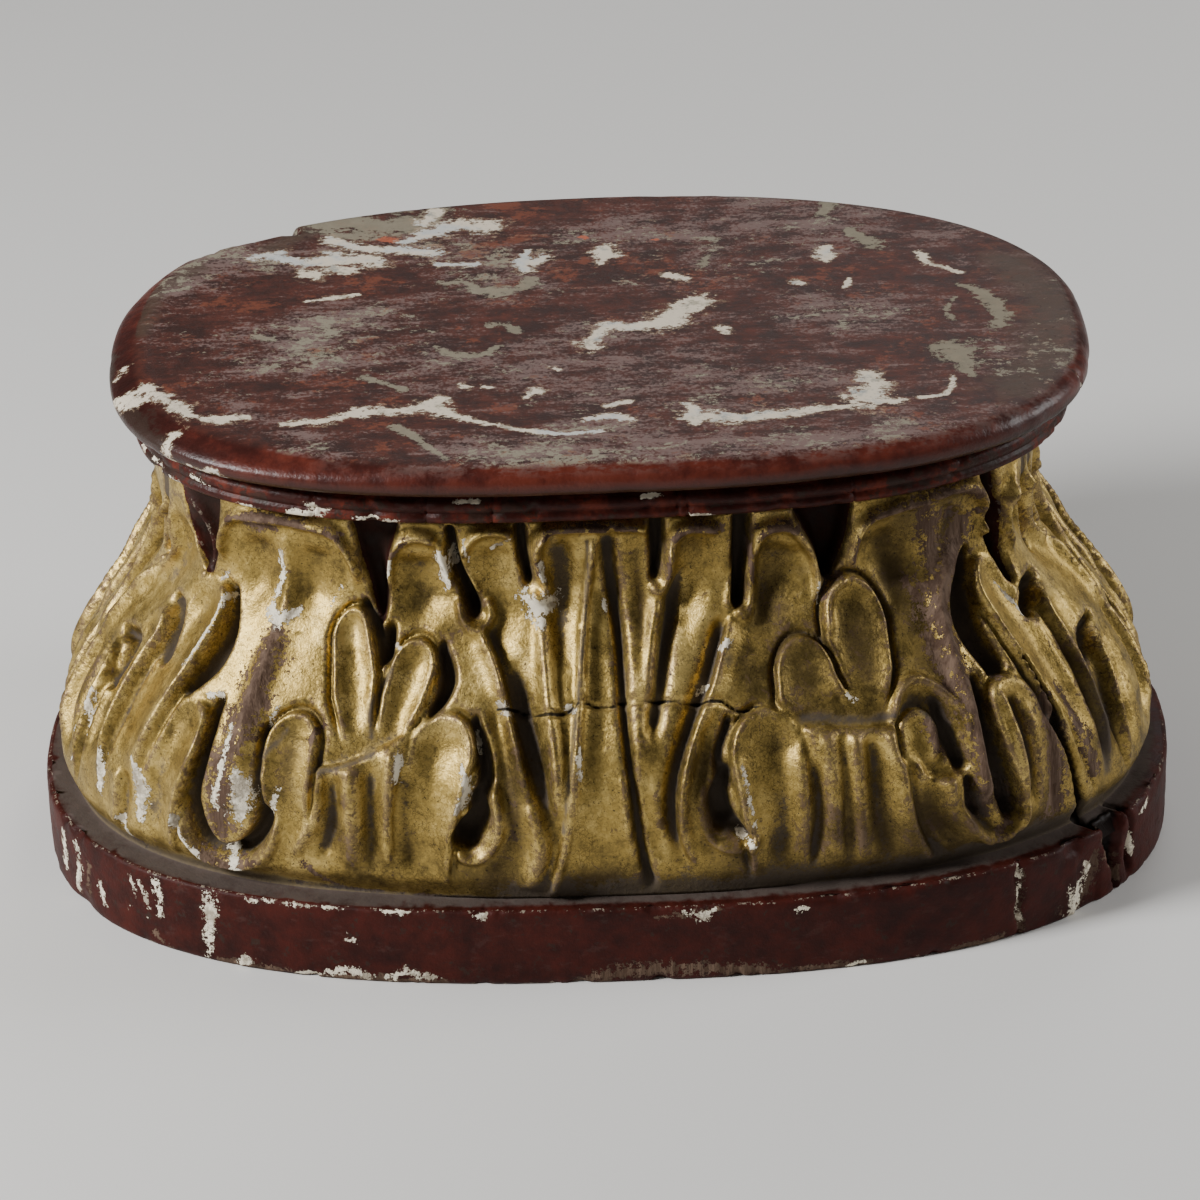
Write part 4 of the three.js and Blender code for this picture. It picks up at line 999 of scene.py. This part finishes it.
for sign, operation in (("add", "ADD"), ("sub", "SUBTRACT"), ("mul", "MULTIPLY"), ("truediv", "DIVIDE"),
                        ("pow", "POWER")):
    setattr(Signal, f"__{sign}__", arithmetic(operation, False))
    setattr(Signal, f"__r{sign}__", arithmetic(operation, True))


class Finish:
    # one node material and the ways to add to it
    def __init__(self, name):
        self.material = bpy.data.materials.new(name)
        self.material.use_nodes = True
        self.nodes, self.links = self.material.node_tree.nodes, self.material.node_tree.links
        self.shader = self.nodes["Principled BSDF"]
        self.place = self.add("ShaderNodeTexCoord", {}, {}, "Object")

    def add(self, kind, settings, values, output=0):
        # a node with its settings made first, then the values or links of its sockets
        node = self.nodes.new(kind)
        for key, value in settings.items():
            setattr(node, key, value)
        for key, value in values.items():
            if isinstance(value, Signal):
                self.links.new(value.socket, node.inputs[key])
            else:
                node.inputs[key].default_value = value
        return Signal(self, node.outputs[output])

    def mapped(self, stretch):
        return self.add("ShaderNodeMapping", {}, {"Vector": self.place, "Scale": stretch})

    def noise(self, size, detail=3.0, rough=0.55, bend=0.0, stretch=(1, 1, 1)):
        # size in mm
        values = {"Scale": 1000.0 / size, "Detail": detail, "Roughness": rough, "Distortion": bend}
        return self.add("ShaderNodeTexNoise", {}, {"Vector": self.mapped(stretch), **values})

    def cells(self, size, warp):
        # distance to the nearest cell edge, for cells of size mm whose edges are bent by warp times a noise
        place, scale = self.mapped((1, 1, 1)), 1000.0 / size
        coarse = {"Vector": place, "Scale": scale * 0.8, "Detail": 3.0}
        drift = self.add("ShaderNodeTexNoise", {}, coarse, "Color")
        reach = {0: drift, "Scale": warp * size * mm}
        drift = self.add("ShaderNodeVectorMath", {"operation": "SCALE"}, reach)
        place = self.add("ShaderNodeVectorMath", {"operation": "ADD"}, {0: place, 1: drift})
        toEdge = {"feature": "DISTANCE_TO_EDGE"}
        return self.add("ShaderNodeTexVoronoi", toEdge, {"Vector": place, "Scale": scale})

    def mark(self, name):
        # a mask that is kept in the mesh
        return self.add("ShaderNodeAttribute", {"attribute_name": name}, {}, "Fac")

    def blend(self, a, b, factor):
        # colour a where the factor is 0, colour b where it is 1
        pick = {"data_type": "RGBA", "clamp_factor": True}
        a, b = (v if isinstance(v, Signal) else (*v, 1.0) for v in (a, b))
        return self.add("ShaderNodeMix", pick, {0: factor, 6: a, 7: b}, 2)

    def bump(self, height, strength, distance):
        values = {"Height": height, "Strength": strength, "Distance": distance * mm}
        return self.add("ShaderNodeBump", {}, values)

    def wear(self, **sockets):
        # sets or links the shader's own sockets, whose names have _ for each space
        for key, value in sockets.items():
            name = key.replace("_", " ")
            if isinstance(value, Signal):
                self.links.new(value.socket, self.shader.inputs[name])
            else:
                self.shader.inputs[name].default_value = value
        return self.material


gilding = {
    "bright": (0.60, 0.44, 0.15),
    "gold": (0.36, 0.25, 0.070),
    "olive": (0.15, 0.105, 0.034),
    "brown": (0.046, 0.029, 0.013),
    "speckAndShade": (0.014, 0.009, 0.006),
    "gesso": (0.80, 0.73, 0.58),
    "gessoShade": (0.36, 0.31, 0.235),
    "bareWood": (0.072, 0.042, 0.028),
    "paleWood": (0.150, 0.098, 0.068),
    "rim": (0.15, 0.098, 0.062),
    "dust": (0.082, 0.067, 0.057),
}
redPaint = {
    "deep": (0.021, 0.0047, 0.0034),
    "red": (0.060, 0.0100, 0.0064),
    "bright": (0.135, 0.0235, 0.0115),
    "brown": (0.030, 0.018, 0.013),
    "scuff": (0.13, 0.090, 0.078),
}
boardTop = {
    "dark": (0.028, 0.0095, 0.0070),
    "red": (0.086, 0.0210, 0.0125),
    "mauve": (0.185, 0.127, 0.114),
    "rust": (0.165, 0.045, 0.022),
    "tan": (0.33, 0.235, 0.15),
    "blueWhite": (0.44, 0.48, 0.50),
    "olive": (0.060, 0.040, 0.027),
    "cream": (0.64, 0.56, 0.44),
    "oliveGrey": (0.24, 0.215, 0.155),
    "orange": (0.42, 0.10, 0.045),
}

print("mixing the finishes")


def carvedFinish():
    f = Finish("antique_gilding_and_red_paint")
    hollow, crest, gesso, wood = f.mark("hollow"), f.mark("crest"), f.mark("gesso"), f.mark("wood")
    dust, red, level, opened, worn = (f.mark(n) for n in ("dust", "redPaint", "level", "open", "worn"))
    broad, middling, fineGrain = f.noise(34, 3), f.noise(8, 3, 0.66), f.noise(1.5, 2, 0.70)
    ragged = f.noise(4.6, 3, 0.74) * 0.45 + f.noise(1.6, 3, 0.84) * 0.55

    tone = (broad - 0.5) * 1.5 + (middling - 0.5) * 1.6 + (fineGrain - 0.5) * 0.8 + 0.64
    # darker, browner gold where the hollow mark is high: toning in the recesses, and painted shade at the
    # leaves' foot and on the sunk ground
    tone = tone - hollow * 0.45 - worn * 0.4
    gold = f.blend(gilding["olive"], gilding["gold"], tone.between(0.0, 0.6))
    # crests lift the gold towards bright: a painted highlight on the lobes' crests
    gold = f.blend(gold, gilding["bright"], (tone + crest * 0.2).between(0.5, 1.1))
    toning = (hollow * 0.8 + worn * 0.6 + (middling - 0.5) * 1.5).between(0.22, 1.0)
    gold = f.blend(gold, gilding["brown"], toning * 0.8)
    crackle = 1 - f.cells(1.9, 1.8).between(0.0, 0.085)
    crackMask = (f.noise(13, 3) - 0.34).between(0.0, 0.25)
    gold = f.blend(gold, gilding["brown"], crackle * crackMask * 0.62)
    scratches = (f.noise(1.1, 3, 0.84, 0.6) - 0.56).between(0.0, 0.07)
    gold = f.blend(gold, gilding["brown"], scratches * 0.38)
    rubbed = (f.noise(4.5, 4, 0.80, 0.9) + crest * 0.10 + worn * 0.07 - 0.63).between(0.0, 0.05)
    gold = f.blend(gold, gilding["bareWood"], rubbed * 0.72)
    rimLine = (crest * 0.8 + (ragged - 0.5) * 4.2 + (broad - 0.5) * 1.4 - 0.74).between(0.0, 0.12)
    gold = f.blend(gold, gilding["rim"], rimLine * 0.6)
    specks = (f.noise(1.0, 2, 0.5) - 0.665).between(0.0, 0.03)
    gold = f.blend(gold, gilding["speckAndShade"], specks * 0.8)

    grain = f.noise(4, 3, 0.75, 0.0, (1, 1, 0.12))
    woodTone = f.blend(gilding["bareWood"], gilding["paleWood"], (grain - 0.38).between(0.0, 0.28))
    lively = (broad * 0.6 + middling * 0.9 - 0.45).between(0.0, 0.6)
    reddish = f.blend(redPaint["deep"], redPaint["red"], lively)
    glow = (middling * 0.8 + broad * 0.5 - 0.62).between(0.0, 0.25) * level
    reddish = f.blend(reddish, redPaint["bright"], glow)
    scuffed = (f.noise(11, 4, 0.74, 0.0, (1, 1, 2.0)) - 0.56).between(0.0, 0.12)
    reddish = f.blend(reddish, redPaint["scuff"], scuffed * 0.14)
    browned = (f.noise(5, 4, 0.7) + worn * 0.22 - 0.60).between(0.0, 0.06)
    reddish = f.blend(reddish, redPaint["brown"], browned * 0.75)
    chipped = (ragged * 0.8 + crest * 0.26 - 0.68).between(0.0, 0.03)
    reddish = f.blend(reddish, gilding["gessoShade"], chipped * red * 0.6)

    # painted shade: the red ground in the hollows, on the ledge and on the neck darkened towards near black
    reddish = f.blend(reddish, gilding["speckAndShade"], hollow * red * (1 - dust) * 0.75)
    redHere = (red + (ragged - 0.5) * 0.8).between(0.46, 0.54)
    colour = f.blend(gold, reddish, redHere)
    woodHere = (wood + (ragged - 0.5) * (wood * 9.0 + 0.4).least(3.6)).between(0.48, 0.56)
    colour = f.blend(colour, woodTone, woodHere)
    edgeOfGesso = gesso + (ragged - 0.5) * (gesso * 9.0 + 0.3).least(3.2)
    gessoHere = edgeOfGesso.between(0.49, 0.53)
    colour = f.blend(colour, gilding["bareWood"], edgeOfGesso.between(0.40, 0.48) * (1 - gessoHere) * 0.6)
    shade = (middling * 1.3 + fineGrain * 0.4 - 0.80).between(0.0, 0.25)
    chalk = f.blend(gilding["gesso"], gilding["gessoShade"], shade)
    colour = f.blend(colour, chalk, gessoHere)
    dusty = (dust * 0.9 + (middling - 0.5) * 0.8 + (fineGrain - 0.5) * 0.3).between(0.28, 0.85)
    greyHollow = (hollow * 1.1 + (broad - 0.5) * 1.6 + (ragged - 0.5) * 2.0 - 0.52).between(0.0, 0.35)
    dusty = dusty.most(greyHollow * 0.85 * (1 - red)) * (1 - gessoHere)
    colour = f.blend(colour, gilding["dust"], dusty * 0.85)
    # painted shade: the open cracks and splits filled with near black
    colour = f.blend(colour, (0.006, 0.004, 0.003), (opened - 0.3).between(0.0, 0.4) * 0.93)

    bare = woodHere.most(gessoHere).most(dusty * 0.85).most(redHere)
    metal = (1 - bare) * (0.86 - toning * 0.5 - specks * 0.5 - rubbed * 0.6) * (1 - opened * 0.8)
    rough = 0.37 + middling * 0.2 + toning * 0.22 + woodHere * 0.25 + gessoHere * 0.4 + dusty * 0.35
    rough = rough + redHere * (0.06 + scuffed * 0.25) - redHere * level * 0.1
    height = (fineGrain - 0.5) * 0.20 + (middling - 0.5) * 0.34 - gessoHere * 0.3 - woodHere * 0.3
    height = height + woodHere * (grain - 0.5) * 0.9
    return f.wear(Base_Color=colour, Metallic=metal, Roughness=rough.least(0.95), Specular_IOR_Level=0.14,
                  Normal=f.bump(height, 0.9, 1.0))


def boardFinish():
    f = Finish("worn_red_board")
    onTop, crest, cream, olive = f.mark("onTop"), f.mark("crest"), f.mark("cream"), f.mark("olive")
    scuff, older, orange, under = (f.mark(n) for n in ("scuff", "older", "orange", "under"))
    streak = f.noise(7, 5, 0.82, 0.0, (0.32, 1, 1))
    broad = f.noise(45, 3, 0.6, 0.0, (0.6, 1, 1))
    middling, fineGrain = f.noise(7, 3, 0.68), f.noise(1.5, 2, 0.65)
    ragged = f.noise(7.4, 3, 0.74, 0.0, (0.7, 1, 1)) * 0.45 + f.noise(2.2, 4, 0.84, 0.0, (0.7, 1, 1)) * 0.55
    side = f.blend(redPaint["deep"], redPaint["red"], (middling * 0.5 + broad - 0.45).between(0.0, 0.5))
    side = f.blend(side, redPaint["bright"], (middling * 0.6 + broad * 0.8 - 0.64).between(0.0, 0.3) * 0.7)
    side = f.blend(side, redPaint["scuff"], crest * (streak + middling * 0.5 - 0.70).between(0.0, 0.15) * 0.5)
    side = f.blend(side, redPaint["brown"], (older + (middling - 0.5) * 1.4 - 0.45).between(0.0, 0.25) * 0.8)
    # painted shade: the rim darkened towards its underside
    side = f.blend(side, gilding["speckAndShade"], (under * 0.9 + (middling - 0.5) * 0.6).between(0.1, 1.1) * 0.85)
    lively = (streak * 0.6 + middling * 0.5 - 0.42).between(0.0, 0.3)
    flat = f.blend(boardTop["dark"], boardTop["red"], lively)
    mauve = scuff * 0.55 + (streak - 0.5) * 3.8 + (fineGrain - 0.5) * 2.2 + (broad - 0.5) * 2.4 + 0.06
    flat = f.blend(flat, boardTop["mauve"], mauve.between(0.15, 0.85) * 0.75)
    flat = f.blend(flat, boardTop["olive"], (older + (middling - 0.5) * 1.2 - 0.3).between(0.0, 0.5) * 0.7)
    flecks = ((ragged - 0.5) * 3.2 + (broad - 0.5) * 1.8 + scuff * 0.12 - 0.31).between(0.0, 0.12)
    flat = f.blend(flat, boardTop["oliveGrey"], flecks * 0.9)
    rusty = ((f.noise(18, 4, 0.7) - 0.5) * 2.4 + (ragged - 0.5) * 2.4 - scuff * 0.35 - 0.12).between(0.0, 0.3)
    flat = f.blend(flat, boardTop["rust"], rusty * (1 - older) * 0.75)
    darkSpots = (f.noise(3, 3, 0.6) - 0.64).between(0.0, 0.04)
    flat = f.blend(flat, boardTop["dark"], darkSpots * 0.8)
    colour = f.blend(side, flat, onTop)
    oliveHere = (olive + (ragged - 0.5) * (olive * 9.0 + 0.3).least(3.4)).between(0.46, 0.56)
    colour = f.blend(colour, boardTop["oliveGrey"], oliveHere * (0.6 + middling * 0.4))
    orangeHere = (orange + (ragged - 0.5) * (orange * 9.0).least(3.0)).between(0.45, 0.55)
    colour = f.blend(colour, boardTop["orange"], orangeHere * 0.8)
    edgeOfCream = cream + (ragged - 0.5) * (cream * 9.0 + 0.3).least(3.4)
    creamHere = edgeOfCream.between(0.49, 0.53)
    colour = f.blend(colour, boardTop["tan"], edgeOfCream.between(0.30, 0.44) * (1 - creamHere) * broad * 1.1)
    shade = (middling + fineGrain * 0.3 - 0.66).between(0.0, 0.25)
    chalk = f.blend(boardTop["cream"], boardTop["oliveGrey"], shade)
    cooler = (broad * 1.4 + middling * 0.6 - 0.98).between(0.0, 0.25)
    chalk = f.blend(chalk, boardTop["blueWhite"], cooler * 0.7)
    colour = f.blend(colour, chalk, creamHere)
    lost = creamHere.most(oliveHere * 0.7)
    rough = 0.30 + middling * 0.16 + onTop * 0.2 + lost * 0.3 + mauve.between(0.15, 0.95) * onTop * 0.1
    height = (fineGrain - 0.5) * 0.16 + (middling - 0.5) * 0.35 + (streak - 0.5) * 0.35 * onTop - lost * 0.45
    return f.wear(Base_Color=colour, Metallic=0.0, Roughness=rough.least(0.95), Specular_IOR_Level=0.3,
                  Normal=f.bump(height, 0.9, 1.0))


for piece, node, slot, finish in ((carvedBody, "carved_body", "gilded_wood", carvedFinish()),
                                  (topBoard, "top_board", "red_wood", boardFinish())):
    piece.data.materials.append(finish)
    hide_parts(node)
    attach(piece, "root")

print("setting the room")
floorMesh = bpy.data.meshes.new("floor")
half = room["floorSize"] / 2
corners = [(-half, -half, 0), (half, -half, 0), (half, half, 0), (-half, half, 0)]
floorMesh.from_pydata(corners, [], [(0, 1, 2, 3)])
floor = bpy.data.objects.new("floor", floorMesh)
bpy.context.scene.collection.objects.link(floor)
floorFinish = Finish("pale_floor")
floor.data.materials.append(floorFinish.wear(Base_Color=(*room["floor"], 1.0), Roughness=0.85))

world = bpy.data.worlds.new("room")
world.use_nodes = True
world.node_tree.nodes["Background"].inputs["Color"].default_value = (*room["world"], 1.0)
world.node_tree.nodes["Background"].inputs["Strength"].default_value = room["worldPower"]
bpy.context.scene.world = world


def softLight(name, place, size, power):
    # a round area light aimed at the middle of the socle
    data = bpy.data.lights.new(name, "AREA")
    data.shape, data.size, data.energy = "DISK", size, power
    light = bpy.data.objects.new(name, data)
    light.location = place
    light.rotation_euler = (Vector((0, 0, 0.09)) - Vector(place)).to_track_quat("-Z", "Y").to_euler()
    bpy.context.scene.collection.objects.link(light)


for lamp in ("key", "fill", "rear"):
    softLight(lamp, room[lamp + "From"], room[lamp + "Size"], room[lamp + "Power"])


def aimCamera():
    # looks along -d at the target from the fitted distance, rolled about its own axis
    az, el, roll = (math.radians(camera[k]) for k in ("azimuth", "elevation", "roll"))
    d = Vector((math.sin(az) * math.cos(el), -math.cos(az) * math.cos(el), math.sin(el)))
    right = Vector((0, 0, 1)).cross(d).normalized()
    up = d.cross(right)
    rolledRight = math.cos(roll) * right + math.sin(roll) * up
    rolledUp = -math.sin(roll) * right + math.cos(roll) * up
    place = (Vector(camera["target"]) + d * camera["distance"]) * mm
    data = bpy.data.cameras.new("camera")
    data.lens, data.sensor_width = camera["lens"], 36.0
    eye = bpy.data.objects.new("camera", data)
    turn = Matrix((rolledRight, rolledUp, d)).transposed().to_4x4()
    eye.matrix_world = Matrix.Translation(place) @ turn
    bpy.context.scene.collection.objects.link(eye)
    bpy.context.scene.camera = eye


aimCamera()
